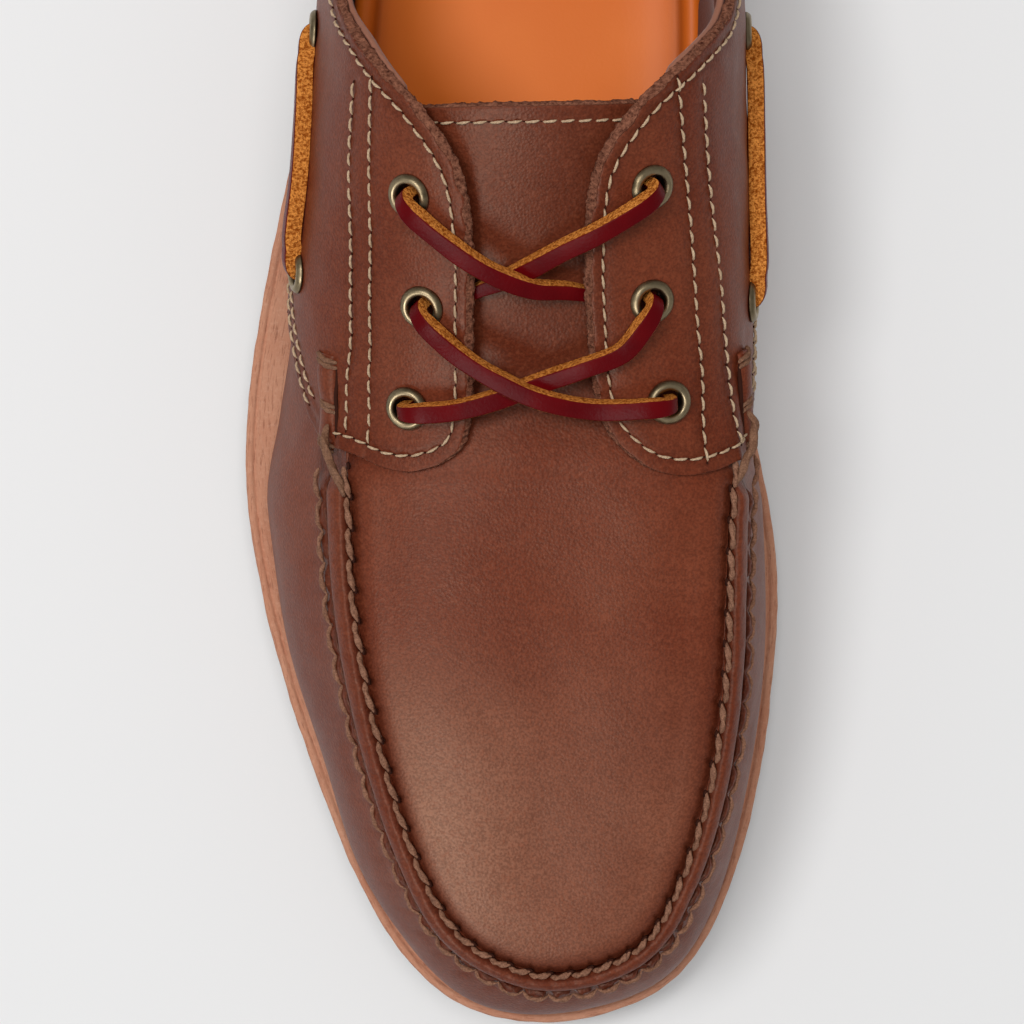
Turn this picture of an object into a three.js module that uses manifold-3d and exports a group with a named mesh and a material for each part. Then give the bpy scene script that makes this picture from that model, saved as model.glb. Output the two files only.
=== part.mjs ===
// Boat shoe for the right foot: hand-sewn moccasin upper with a raised apron seam, open quarters with
// three front eyelets a side, a rawhide lace, and a lugged sole. Millimetres, +Z up, toe towards -Y,
// heel towards +Y, inner (medial) side towards +X. The origin is on the floor under the middle.
import * as THREE from 'three';
import { mergeVertices } from 'three/addons/utils/BufferGeometryUtils.js';
import Module from 'manifold-3d';

const wasm = await Module();
wasm.setup();

// ---------------------------------------------------------------- driving sizes
const AROUND = 44;            // facets round the shoe
const UPPER_WALL = 2.2;       // leather of the vamp
const LINING_WALL = 1.6;      // backed leather under the quarters
const QUARTER = 2.0;          // quarter leather
const GAP = 0.3;              // fit between curved pieces
const TUCK = QUARTER + GAP;   // how far the upper sits back under the quarters
const RIDGE = 2.2;            // height of the apron seam
const MIDSOLE = 4.6;          // thickness of the midsole edge
const FOOTBED = 4.0;          // thickness of the footbed
const TONGUE = 2.2;           // thickness of the tongue
const TONGUE_DROP = 3.1;      // room for the lace between tongue and quarters
const COUNTER = 1.5;          // thickness of the heel counter
const EYELET = { outer: 4.15, hole: 2.3, barrel: 2.85, proud: 1.0 };
const LACE = 3.3;             // side of the square lace
const LACE_CORNER = 0.55;     // cut off its corners
const LUG = 3.4;              // depth of the tread grooves
const GROOVE = 3.4;           // width of the tread grooves
const RAIL = [0.5, 5.5];      // uncut rail of the tread between the grooves, across the sole
const FAR = 80;               // past the shoe's sides: reach of the cutters across it
const HIGH = 150;             // over the shoe's top: reach of the cutters upwards
const BACK = 160;             // behind the heel: reach of the cutters along it

// The last, a row per section from the back of the heel along the outer side to the toe and back
// along the inner side. x, y: edge of the sole. rim: how far the foot of the wall stands in from it.
// belly: outward bulge of the wall. sx, sy, sz: shoulder, which is the apron seam on the vamp.
// lean, rise: degrees from vertical of the wall below and of the top above the shoulder.
const LAST = [
  // x      y     rim  belly   sx      sy    sz  lean rise
  [3.0, 148.5, 4.0, 1.0, 3.0, 142.5, 58.0, 4, 4],
  [-17.5, 144.5, 4.0, 1.0, -16.0, 138.5, 57.5, 4, 4],
  [-31.0, 128.0, 4.0, 1.0, -28.5, 124.0, 57.0, 5, 5],
  [-35.0, 103.0, 4.0, 1.0, -32.3, 102.0, 56.0, 6, 7],
  [-36.5, 75.0, 3.5, 1.2, -34.4, 76.0, 55.0, 7, 9],
  [-39.5, 50.0, 3.5, 0.6, -36.6, 50.0, 56.0, 9, 13],
  [-45.3, 22.0, 5.0, 0.0, -37.4, 22.0, 58.0, 15, 17],
  [-51.0, -5.0, 6.2, 0.6, -38.3, -5.0, 56.0, 25, 30],
  [-54.2, -33.0, 5.0, 0.9, -32.2, -33.0, 56.0, 32, 50],
  [-51.8, -58.0, 4.4, 0.9, -30.6, -57.0, 54.3, 32, 62],
  [-45.8, -82.0, 3.6, 0.9, -27.4, -81.0, 51.5, 32, 64],
  [-37.6, -105.5, 2.9, 1.2, -20.8, -106.0, 49.0, 32, 62],
  [-28.3, -126.0, 2.9, 1.2, -11.9, -125.0, 46.8, 32, 60],
  [-13.8, -143.1, 3.1, 1.2, -1.5, -133.0, 45.4, 32, 58],
  [7.4, -148.7, 3.2, 1.2, 9.5, -135.2, 45.0, 32, 58],
  [28.3, -143.2, 3.1, 1.2, 22.9, -130.8, 45.7, 32, 58],
  [40.7, -129.6, 3.0, 1.2, 30.7, -120.6, 47.1, 30, 60],
  [48.7, -107.0, 3.2, 1.2, 36.6, -103.5, 50.0, 27, 63],
  [52.9, -81.1, 3.7, 1.2, 40.4, -80.4, 53.6, 23, 64],
  [53.8, -55.6, 4.1, 1.4, 41.2, -55.2, 57.9, 18, 61],
  [49.4, -30.5, 3.7, 2.1, 42.1, -30.6, 60.4, 19, 43],
  [44.7, -4.8, 3.0, 2.7, 43.6, -4.8, 59.5, 17, 17],
  [42.7, 23.3, 3.0, 3.4, 43.9, 23.3, 58.5, 8, 9],
  [42.8, 52.4, 3.0, 3.2, 43.6, 52.4, 56.6, 6, 6],
  [42.3, 80.7, 3.3, 1.8, 41.0, 80.8, 55.8, 6, 6],
  [40.4, 107.1, 3.9, 1.2, 38.1, 106.1, 56.8, 6, 6],
  [34.8, 129.5, 4.0, 1.0, 32.1, 125.9, 57.4, 5, 5],
  [21.6, 144.4, 4.0, 1.0, 20.0, 138.5, 58.0, 4, 4],
];
// The top line of the last, a row per section from heel to toe: x, y, z.
const SPINE = [
  [3.0, 112.0, 116.0], [3.0, 110.9, 115.9], [3.2, 106.0, 115.4], [3.7, 95.4, 114.4], [4.3, 77.5, 112.4],
  [4.6, 51.2, 106.0], [4.1, 22.7, 93.8], [3.5, -4.9, 79.6], [3.5, -31.7, 67.8], [3.8, -54.5, 61.2],
  [4.6, -74.7, 57.3], [5.1, -88.9, 54.8], [5.4, -97.6, 53.3], [5.5, -100.9, 52.7], [5.5, -102.0, 52.5],
];
// Side view of the sole: y, tread, top of the midsole.
const SOLE = [
  [-150, 9.0, 20.0], [-125, 4.4, 16.2], [-100, 1.3, 14.2], [-84, 0, 13.5], [-50, 0, 13.0], [-25, 0, 13.4],
  [0, 0, 14.6], [30, 0, 17.0], [60, 0, 19.4], [90, 0, 21.2], [120, 0, 22.4], [150, 0, 23.2],
];
// Side view of the collar: y, height.
const COLLAR = [
  [34, 90], [37, 85.2], [40, 80.6], [43, 76.8], [47, 73], [52, 70], [60, 67.6], [70, 66.8], [84, 68.4],
  [98, 72], [112, 76.2], [126, 80.6], [140, 84], [160, 85],
];
// Plan of the throat edge of the quarters, from the front corner up to the collar: x, y.
const THROAT_OUTER = [
  [-33.2, -30.8], [-28.5, -34.8], [-23.7, -37.2], [-19, -38.4], [-14.3, -37.7], [-9.6, -34.9], [-7.2, -31.2],
  [-6.2, -24], [-6, -16], [-6.3, -7.7], [-6.6, 1], [-7.1, 7], [-8.9, 12.9], [-11, 17.2], [-14.5, 22.4],
  [-18, 26.5], [-22.6, 31.6], [-27.3, 37.4], [-29.8, 42],
];
const THROAT_INNER = [
  [44.6, -33.2], [41, -36.6], [36.8, -38.4], [31.1, -39], [25.5, -38.2], [20.8, -34.9], [17.3, -30.6],
  [14.7, -24.5], [13.5, -16.5], [13.2, -7.7], [13.3, 1], [13.9, 9.5], [14.9, 14.5], [16.4, 18.7], [19, 23],
  [23.2, 26.6], [27, 29.4], [31.6, 34.2], [35.4, 38.9], [37.6, 42],
];
// Plan of the throat of the upper below the quarters: x, y.
const THROAT_UPPER = [
  [-28.2, 39.5], [-26.6, 30], [-26, 15], [-26, -10], [-25.5, -22], [-22, -29], [-12, -33.2], [4, -34.8],
  [18, -33.6], [28.5, -29.5], [32.5, -22], [33, -10], [33, 12], [34.2, 30], [36.2, 40.5],
];
// Lower edge of the quarters in side view, from the front corner to the sole: y, z.
const QUARTER_EDGE = [
  [-52, 62], [-36, 52], [-31, 47.8], [-24, 44.2], [-14, 41.8], [-1, 39.8], [12, 35.5], [24, 28.5], [36, 19],
  [44, 8],
];
// Front edge of the heel counter in side view: y, z.
const COUNTER_EDGE = [[98, 6], [101, 22], [108, 40], [118, 56], [127, 68], [132, 80], [133, 96]];
// Eyelets: station round the last, height parameter (0 sole, 1 shoulder, 2 top line), lift off the last.
const EYELETS = {
  eyelet_outer_top: [6.43, 1.6, 0], eyelet_outer_middle: [7.14, 1.61, 0],
  eyelet_outer_bottom: [7.78, 1.45, 0.75],
  eyelet_inner_top: [21.61, 1.62, 0], eyelet_inner_middle: [20.89, 1.57, 0],
  eyelet_inner_bottom: [20.21, 1.43, 0.6],
  eyelet_side_outer_front: [6.84, 0.86, 0], eyelet_side_outer_rear: [5.18, 0.88, 0],
  eyelet_side_inner_front: [20.95, 0.84, 0], eyelet_side_inner_rear: [22.74, 0.86, 0],
};

// ---------------------------------------------------------------- curves
const radians = THREE.MathUtils.degToRad;
const sub = (a, b) => a.map((v, i) => v - b[i]);
const add = (a, b, k = 1) => a.map((v, i) => v + b[i] * k);
const dot = (a, b) => a.reduce((s, v, i) => s + v * b[i], 0);
const unit = (a) => a.map((v) => v / Math.hypot(...a));
const cross = (a, b) => [a[1] * b[2] - a[2] * b[1], a[2] * b[0] - a[0] * b[2], a[0] * b[1] - a[1] * b[0]];
const mix = (a, b, t) => a * (1 - t) + b * t;
function smoothstep(t) {
  const s = Math.min(Math.max(t, 0), 1);
  return s * s * (3 - 2 * s);
}

// Control rows of the closed cubic B-spline that passes through every row of a table.
function fitted(rows) {
  let c = rows.map((r) => [...r]);
  const n = c.length;
  for (let pass = 0; pass < 30; pass++) {
    c = c.map((r, i) => {
      const before = c[(i + n - 1) % n];
      const after = c[(i + 1) % n];
      return r.map((v, k) => v + rows[i][k] - (before[k] + 4 * v + after[k]) / 6);
    });
  }
  return c;
}
const lastControl = fitted(LAST);
const spineControl = fitted([...SPINE, ...SPINE.slice(1, -1).reverse()]);
const STATIONS = LAST.length;
const TOE = STATIONS / 2;
// Station brought into the first turn round the shoe.
const turned = (u) => ((u % STATIONS) + STATIONS) % STATIONS;
// Closed uniform cubic B-spline at station u.
function around(c, u) {
  const n = c.length;
  const w = turned(u);
  const i = Math.floor(w);
  const f = w - i;
  const b = [(1 - f) ** 3, 3 * f ** 3 - 6 * f * f + 4, -3 * f ** 3 + 3 * f * f + 3 * f + 1, f ** 3];
  return c[0].map((_, k) => b.reduce((s, q, j) => s + q * c[(i + n - 1 + j) % n][k], 0) / 6);
}
// Smooth reading of column k of a table whose first column increases.
function reading(table, k, x) {
  const n = table.length;
  const xs = table.map((r) => r[0]);
  const at = Math.min(Math.max(x, xs[0]), xs[n - 1]);
  let i = 0;
  while (i < n - 2 && at > xs[i + 1]) i++;
  const h = (j) => xs[j + 1] - xs[j];
  const d = (j) => (table[j + 1][k] - table[j][k]) / h(j);
  const inner = (j) => (d(j - 1) * h(j) + d(j) * h(j - 1)) / (h(j - 1) + h(j));
  const m = (j) => (j === 0 ? d(0) : j === n - 1 ? d(n - 2) : inner(j));
  const t = (at - xs[i]) / h(i);
  return table[i][k] * (1 + 2 * t) * (1 - t) ** 2 + table[i + 1][k] * t * t * (3 - 2 * t)
    + h(i) * (m(i) * t * (1 - t) ** 2 - m(i + 1) * t * t * (1 - t));
}
const treadAt = (y) => Math.max(reading(SOLE, 1, y), 0);
const rimAt = (y) => reading(SOLE, 2, y);

// ---------------------------------------------------------------- the last
function section(u) {
  const r = around(lastControl, u);
  const t = unit(sub(around(lastControl, u + 0.01), around(lastControl, u - 0.01)).slice(0, 2));
  const inward = [-t[1], t[0]];
  const fx = r[0] + inward[0] * r[2];
  const fy = r[1] + inward[1] * r[2];
  const foot = [fx, fy, rimAt(fy) + GAP];
  return { r, inward, foot, shoulder: r.slice(4, 7), top: around(spineControl, u) };
}
function spineSlope(u) {
  const w = turned(u);
  const k = Math.min(Math.max(w > TOE ? STATIONS - w : w, 0.6), TOE - 0.6);
  const a = around(spineControl, k + 0.4);
  const b = around(spineControl, k - 0.4);
  return (a[2] - b[2]) / (a[1] - b[1]);
}
function bezier(a, b, c, d, t) {
  const weights = [(1 - t) ** 3, 3 * t * (1 - t) ** 2, 3 * t * t * (1 - t), t ** 3];
  return a.map((_, i) => a[i] * weights[0] + b[i] * weights[1] + c[i] * weights[2] + d[i] * weights[3]);
}
// Point of the last: u round the shoe, v 0 foot of the wall, 1 shoulder, 2 top line.
function last(u, v) {
  const { r, inward, foot, shoulder, top } = section(u);
  const up = sub(top, shoulder);
  const plan = unit(up.slice(0, 2));
  if (v <= 1) {
    const reach = Math.hypot(...sub(shoulder, foot));
    const lean = radians(r[7]);
    const belly = r[3] * 2.2;
    const low = [foot[0] - inward[0] * belly, foot[1] - inward[1] * belly, foot[2] + 0.34 * reach];
    const dir = [inward[0] * Math.sin(lean), inward[1] * Math.sin(lean), Math.cos(lean)];
    return bezier(foot, low, add(shoulder, dir, -0.36 * reach), shoulder, v);
  }
  const reach = Math.hypot(...up);
  const rise = radians(r[8]);
  const dir = [plan[0] * Math.sin(rise), plan[1] * Math.sin(rise), Math.cos(rise)];
  const flat = unit([plan[0], plan[1], spineSlope(u) * plan[1]]);
  return bezier(shoulder, add(shoulder, dir, 0.36 * reach), add(top, flat, -0.42 * reach), top, v - 1);
}
function outward(u, v) {
  if (v > 1.999) return unit([0, -spineSlope(u), 1]);
  const w = Math.min(Math.max(v, 0.01), 1.97);
  return unit(cross(sub(last(u + 0.02, w), last(u - 0.02, w)), sub(last(u, w + 0.01), last(u, w - 0.01))));
}
// Point at a distance outside the last; off may depend on the plain point.
function skin(u, v, off) {
  const p = last(u, v);
  return add(p, outward(u, v), typeof off === 'function' ? off(p) : off);
}
const behind = (y) => smoothstep((y + 46) / 20);      // 0 on the vamp, 1 under the quarters
// The raised apron seam round the vamp, a band outside the shoulder line.
function ridge(p, u, v) {
  const along = smoothstep(((u < TOE ? -40 : -41) - p[1]) / 6);
  const across = smoothstep((v - 0.845) / 0.03) * smoothstep((1.012 - v) / 0.03);
  return RIDGE * along * across;
}
const upperOuter = (p) => -TUCK * behind(p[1]);
// The upper's outside with the seam standing up from it, half outwards and half upwards.
function crested(u, v, off) {
  return add(skin(u, v, off), unit(add(outward(u, v), [0, 0, 0.9])), ridge(last(u, v), u, v));
}
const upperInner = (p) => upperOuter(p) - mix(UPPER_WALL, LINING_WALL, behind(p[1]));

// ---------------------------------------------------------------- solids
function solid(positions, triangles) {
  return new wasm.Manifold(new wasm.Mesh({
    numProp: 3, vertProperties: new Float32Array(positions.flat()), triVerts: new Uint32Array(triangles.flat()),
  }));
}
function fromGeometry(g) {
  const separate = g.index ? g.toNonIndexed() : g;
  const plain = new THREE.BufferGeometry().setAttribute('position', separate.getAttribute('position'));
  const m = mergeVertices(plain, 1e-4);
  return new wasm.Manifold(new wasm.Mesh({
    numProp: 3, vertProperties: m.attributes.position.array, triVerts: new Uint32Array(m.index.array),
  }));
}
function mesh(name, made, material) {
  const m = made.getMesh();
  const g = new THREE.BufferGeometry();
  g.setAttribute('position', new THREE.BufferAttribute(new Float32Array(m.vertProperties), 3));
  g.setIndex(new THREE.BufferAttribute(new Uint32Array(m.triVerts), 1));
  const flat = g.toNonIndexed();
  flat.computeVertexNormals();
  const out = new THREE.Mesh(flat, material);
  out.name = name;
  return out;
}
// Closed form from rings round the shoe: floor across the first ring, and roof across the last ring
// or, with spine set, along the top line.
function form(rings, spine) {
  const n = rings[0].length;
  const h = n / 2;
  const pts = rings.flat();
  const tris = [];
  const at = (j, i) => j * n + (i % n);
  const quad = (a, b, c, d) => tris.push([a, b, c], [a, c, d]);
  for (let j = 0; j + 1 < rings.length; j++) {
    for (let i = 0; i < n; i++) quad(at(j, i), at(j, i + 1), at(j + 1, i + 1), at(j + 1, i));
  }
  const zip = (j, i, down) => {
    const a = at(j, i);
    const b = at(j, i + 1);
    const c = at(j, n - i - 1);
    const d = at(j, n - i);
    const quads = i === 0 ? [[a, c, b]] : i === h - 1 ? [[a, d, b]] : [[a, d, c], [a, c, b]];
    tris.push(...quads.map((t) => (down ? t : [t[0], t[2], t[1]])));
  };
  for (let i = 0; i < h; i++) zip(0, i, true);
  const top = rings.length - 1;
  if (spine) {
    const base = pts.length;
    pts.push(...spine);
    const s = (i) => base + ((i % n) <= h ? i % n : n - (i % n));
    for (let i = 0; i < n; i++) quad(at(top, i), at(top, i + 1), s(i + 1), s(i));
  } else {
    for (let i = 0; i < h; i++) zip(top, i, false);
  }
  return solid(pts, tris);
}
const stations = Array.from({ length: AROUND }, (_, i) => (STATIONS * i) / AROUND);
// Solid under a skin of the last. drop lowers an extra ring so that the solid passes below the wall.
function lastForm(off, heights, drop = 0, at = skin) {
  const rings = heights.map((v) => stations.map((u) => {
    const p = at(u, v, off);
    return v === 0 ? [p[0], p[1], rimAt(p[1]) + GAP] : p;
  }));
  if (drop) rings.unshift(rings[0].map((p) => [p[0], p[1], p[2] - drop]));
  return form(rings, stations.slice(0, AROUND / 2 + 1).map((u) => skin(u, 2, off)));
}
// Ring at a distance inside the edge of the sole.
function soleRing(inset, height) {
  return stations.map((u) => {
    const { r, inward } = section(u);
    const y = r[1] + inward[1] * inset;
    return [r[0] + inward[0] * inset, y, height(y)];
  });
}
function smoothLine(points, steps) {
  const curve = new THREE.SplineCurve(points.map((p) => new THREE.Vector2(...p)));
  return curve.getPoints(steps).map((p) => [p.x, p.y]);
}
function prism(points, depth) {
  const shape = new THREE.Shape(points.map((p) => new THREE.Vector2(...p)));
  return fromGeometry(new THREE.ExtrudeGeometry(shape, { depth, bevelEnabled: false, steps: 1 }));
}
const planPrism = (points, z0, z1) => prism(points, z1 - z0).translate([0, 0, z0]);
// Prism of a side view (y, z), between two x values.
const sidePrism = (points, x0, x1) =>
  prism(points, x1 - x0).transform([0, 1, 0, 0, 0, 0, 1, 0, 1, 0, 0, 0, x0, 0, 0, 1]);
function box(x0, x1, y0, y1, z0, z1) {
  const g = new THREE.BoxGeometry(x1 - x0, y1 - y0, z1 - z0);
  return fromGeometry(g.translate((x0 + x1) / 2, (y0 + y1) / 2, (z0 + z1) / 2));
}

// ---------------------------------------------------------------- cutters of the upper
const collarLine = smoothLine(COLLAR, 18);
const collarCut = sidePrism([...collarLine, [BACK, HIGH], [COLLAR[0][0], HIGH]], -FAR, FAR);
const throatOuter = smoothLine(THROAT_OUTER, 26);
const throatInner = smoothLine(THROAT_INNER, 26);
const throatUpper = smoothLine(THROAT_UPPER, 20);
const quarterEdge = smoothLine(QUARTER_EDGE, 12);
const counterEdge = smoothLine(COUNTER_EDGE, 8);
const THROAT_BACK = 62;                      // where the throat's cutters end, inside the collar
const THROAT_FLOOR = 30;                     // and how low they reach
const upperThroat = planPrism([...throatUpper, [36.2, THROAT_BACK], [-28.2, THROAT_BACK]], THROAT_FLOOR, HIGH);

// ---------------------------------------------------------------- eyelet frames
function placed(made, [u, v, lift]) {
  const z = outward(u, v);
  const x = unit(cross([0, 1, 0], z));
  return made.transform([...x, 0, ...cross(z, x), 0, ...z, 0, ...add(last(u, v), z, lift), 1]);
}
const HOLE_DEPTH = 9, HOLE_RISE = 3;         // reach of the punched holes under and over the last
const eyeletHoles = Object.values(EYELETS).map((at) => {
  const radius = EYELET.barrel + GAP;
  const punch = new THREE.CylinderGeometry(radius, radius, HOLE_DEPTH + HOLE_RISE, 14);
  punch.rotateX(Math.PI / 2).translate(0, 0, (HOLE_RISE - HOLE_DEPTH) / 2);
  return placed(fromGeometry(punch), at);
});

// ---------------------------------------------------------------- upper
const WALL_ROWS = [0, 0.2, 0.42, 0.64, 0.845, 0.875, 0.93, 0.985, 1.012, 1.22, 1.48, 1.74];
const PLAIN_ROWS = [0, 0.2, 0.42, 0.64, 0.845, 1.012, 1.22, 1.48, 1.74];
const BELOW = 6;                             // how far an inner form passes under the wall's foot
let upper = lastForm(upperOuter, WALL_ROWS, 0, crested)
  .subtract(lastForm(upperInner, PLAIN_ROWS, BELOW))
  .subtract(collarCut).subtract(upperThroat);
for (const hole of eyeletHoles) upper = upper.subtract(hole);

// ---------------------------------------------------------------- quarters and heel counter
const QUARTER_ROWS = [0, 0.2, 0.42, 0.64, 0.845, 0.93, 0.985, 1.012, 1.22, 1.48, 1.74];
const HEEL_X = SPINE[0][0];                  // where the two quarters meet at the back of the heel
const INNER_LIFT = 2.5;                      // how much higher the inner quarter's lower edge runs
const quarterShell = lastForm((p) => QUARTER + GAP - TUCK * behind(p[1]), QUARTER_ROWS)
  .subtract(lastForm((p) => GAP - TUCK * behind(p[1]), QUARTER_ROWS, BELOW));
function quarter(side) {
  const throat = side < 0 ? throatOuter : throatInner;
  const centre = HEEL_X + (side * GAP) / 2;
  const front = throat[0][1];
  const end = throat[throat.length - 1][1];
  // plan: outside the throat edge, behind the front corner
  const plan = [[side * FAR, front], ...throat, [centre, end], [centre, BACK], [side * FAR, BACK]];
  const lift = side > 0 ? INNER_LIFT : 0;
  const lower = quarterEdge.map(([y, z]) => [y, z + lift * smoothstep((40 - y) / 40)]);
  const view = [...lower, [44, 5], [BACK, 5], [BACK, HIGH], [QUARTER_EDGE[0][0], HIGH]];
  let q = quarterShell.intersect(planPrism(plan, 0, HIGH)).intersect(sidePrism(view, -FAR, FAR));
  q = q.subtract(collarCut);
  for (const hole of eyeletHoles) q = q.subtract(hole);
  return q;
}
const counterShell = lastForm(GAP + COUNTER, PLAIN_ROWS)
  .subtract(lastForm(GAP, PLAIN_ROWS, BELOW));
const counter = counterShell
  .intersect(sidePrism([...counterEdge, [133, HIGH], [BACK, HIGH], [BACK, 6]], -FAR, FAR))
  .subtract(collarCut);

// ---------------------------------------------------------------- sole
const midsoleFloor = (y) => rimAt(y) - MIDSOLE;
const midsole = form([
  soleRing(9, midsoleFloor), soleRing(0.5, midsoleFloor), soleRing(0, (y) => midsoleFloor(y) + 0.8),
  soleRing(0, (y) => rimAt(y) - 0.9), soleRing(0.7, rimAt), soleRing(4.5, rimAt),
]);
let outsole = form([
  soleRing(11, treadAt), soleRing(3.2, treadAt), soleRing(1.6, (y) => treadAt(y) + 2.2),
  soleRing(0.8, (y) => midsoleFloor(y) - GAP - 0.4), soleRing(1.4, (y) => midsoleFloor(y) - GAP),
]);
const ARCH = [[4, -2], [9, 2.6], [18, 5], [34, 7], [52, 7.4], [57, 6.6], [59, -2]];
outsole = outsole.subtract(sidePrism(ARCH, -FAR, FAR));
const FORE_GROOVES = [-134, -121, -108, -95, -82, -69, -56, -43, -30, -17, -4];
const HEEL_GROOVES = [72, 85, 98, 111, 124, 137];
for (const y of [...FORE_GROOVES, ...HEEL_GROOVES]) {
  const top = treadAt(y) + LUG;
  outsole = outsole.subtract(box(-FAR, RAIL[0], y - GROOVE / 2, y + GROOVE / 2, -5, top))
    .subtract(box(RAIL[1], FAR, y - GROOVE / 2, y + GROOVE / 2, -5, top));
}

// ---------------------------------------------------------------- footbed
// The rolled rim stands up round the heel and the waist and runs out flat under the forefoot.
const rimShare = (y) => smoothstep((y + 45) / 60);
const bedHeight = (flat, rolled) => (y) => GAP + mix(flat, rolled, rimShare(y));
// Ring inside the upper at a height over the midsole.
const bedSkin = (height, extra) => stations.map((u) => {
  let low = 0;
  let high = 1;
  let p;
  for (let i = 0; i < 16; i++) {
    const mid = (low + high) / 2;
    p = skin(u, mid, (q) => upperInner(q) - extra);
    if (p[2] < rimAt(p[1]) + height(p[1])) low = mid;
    else high = mid;
  }
  return [p[0], p[1], rimAt(p[1]) + height(p[1])];
});
const towards = (ring, k, height) => ring.map((p, i) => {
  const middle = section(stations[i]).top;
  const y = mix(p[1], middle[1], k);
  return [mix(p[0], middle[0], k), y, rimAt(y) + height(y)];
});
const bedEdge = bedSkin(bedHeight(0.1, 0.1), 0.9);
const footbed = form([
  bedEdge.map(([x, y]) => [x, y, rimAt(y) + GAP]),
  bedSkin(bedHeight(2.4, 4), 0.6),
  bedSkin(bedHeight(3.4, 7.4), 0.7),
  towards(bedSkin(bedHeight(4, 8), 1.6), 0.03, bedHeight(FOOTBED, 8.2)),
  towards(bedSkin(bedHeight(4, 6), 1.4), 0.13, bedHeight(FOOTBED, FOOTBED + 1.6)),
  towards(bedEdge, 0.32, bedHeight(FOOTBED, FOOTBED)),
]);

// ---------------------------------------------------------------- tongue
// The tongue carries the apron on beneath the quarters: a curved plate between two skins of the last.
const TONGUE_ENDS = [8.25, 5.78];            // stations, counted from the heel, of its root and its top edge
const TONGUE_REACH = 0.6;                    // height parameter from the top line down to its sides
const drop = (y) => -(TUCK + GAP) * smoothstep((y + 41) / 14) - TONGUE_DROP * smoothstep((y + 40) / 18);
function tongueSolid() {
  const rows = 12;
  const cols = 11;
  const tops = [];
  const floors = [];
  for (let j = 0; j < rows; j++) {
    const k = mix(...TONGUE_ENDS, j / (rows - 1));
    for (let i = 0; i < cols; i++) {
      const t = (i / (cols - 1)) * 2 - 1;
      const v = 2 - Math.abs(t) * TONGUE_REACH;
      const u = t < 0 ? k : STATIONS - k;
      tops.push(skin(u, v, (q) => drop(q[1])));
      floors.push(skin(u, v, (q) => drop(q[1]) - TONGUE));
    }
  }
  const n = rows * cols;
  const pts = [...tops, ...floors];
  const tris = [];
  const id = (j, i, low) => (low ? n : 0) + j * cols + i;
  const quad = (a, b, c, d) => tris.push([a, b, c], [a, c, d]);
  for (let j = 0; j + 1 < rows; j++) {
    for (let i = 0; i + 1 < cols; i++) {
      quad(id(j, i), id(j, i + 1), id(j + 1, i + 1), id(j + 1, i));
      quad(id(j, i, 1), id(j + 1, i, 1), id(j + 1, i + 1, 1), id(j, i + 1, 1));
    }
  }
  for (let j = 0; j + 1 < rows; j++) {
    quad(id(j, 0), id(j + 1, 0), id(j + 1, 0, 1), id(j, 0, 1));
    quad(id(j + 1, cols - 1), id(j, cols - 1), id(j, cols - 1, 1), id(j + 1, cols - 1, 1));
  }
  for (let i = 0; i + 1 < cols; i++) {
    quad(id(0, i + 1), id(0, i), id(0, i, 1), id(0, i + 1, 1));
    quad(id(rows - 1, i), id(rows - 1, i + 1), id(rows - 1, i + 1, 1), id(rows - 1, i, 1));
  }
  return solid(pts, tris);
}
// Room inside an open line, its right-hand side moved in by a distance.
function inset(line, d) {
  return line.map((p, i) => {
    const t = unit(sub(line[Math.min(i + 1, line.length - 1)], line[Math.max(i - 1, 0)]));
    return [p[0] - t[1] * d, p[1] + t[0] * d];
  });
}
const tongueRoom = [...inset(throatUpper, GAP), [36, THROAT_BACK], [-28, THROAT_BACK]];
const tongue = tongueSolid().intersect(planPrism(tongueRoom, THROAT_FLOOR, HIGH));

// ---------------------------------------------------------------- eyelets
const EYELET_SIDES = 10;
const eyeletProfile = [
  [EYELET.hole, -QUARTER], [EYELET.barrel, -QUARTER], [EYELET.barrel, 0.15], [EYELET.outer, 0.15],
  [3.35, EYELET.proud], [EYELET.hole, 0.55], [EYELET.hole, -QUARTER],
].map((p) => new THREE.Vector2(...p));
function eyelet(at) {
  const ring = new THREE.LatheGeometry(eyeletProfile, EYELET_SIDES);
  ring.rotateX(Math.PI / 2);
  return placed(fromGeometry(ring), at);
}

// ---------------------------------------------------------------- laces
// A square lace along points { p, ref, size }: ref is where the grain face looks, size scales the section.
function lace(points, steps) {
  const path = new THREE.CatmullRomCurve3(points.map((q) => new THREE.Vector3(...q.p)), false, 'centripetal');
  const h = LACE / 2;
  const e = h - LACE_CORNER;
  const outline = [[h, -e], [h, e], [e, h], [-e, h], [-h, e], [-h, -e], [-e, -h], [e, -h]];
  const n = points.length - 1;
  const rings = [];
  for (let i = 0; i <= steps; i++) {
    const t = i / steps;
    const w = Math.min(Math.floor(t * n), n - 1);
    const f = t * n - w;
    const p = path.getPoint(t).toArray();
    const along = path.getTangent(t).toArray();
    const ref = points[w].ref.map((v, j) => mix(v, points[w + 1].ref[j], f));
    const size = mix(points[w].size, points[w + 1].size, f);
    const side = unit(cross(along, ref));
    const up = cross(side, along);
    rings.push(outline.map(([a, b]) => add(add(p, side, a * size), up, b * size)));
  }
  const k = outline.length;
  const tris = [];
  const at = (j, i) => j * k + (i % k);
  for (let j = 0; j < steps; j++) {
    for (let i = 0; i < k; i++) {
      tris.push([at(j, i), at(j + 1, i + 1), at(j, i + 1)], [at(j, i), at(j + 1, i), at(j + 1, i + 1)]);
    }
  }
  for (let i = 1; i + 1 < k; i++) {
    tris.push([at(0, 0), at(0, i), at(0, i + 1)], [at(steps, 0), at(steps, i + 1), at(steps, i)]);
  }
  return solid(rings.flat(), tris);
}
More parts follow.
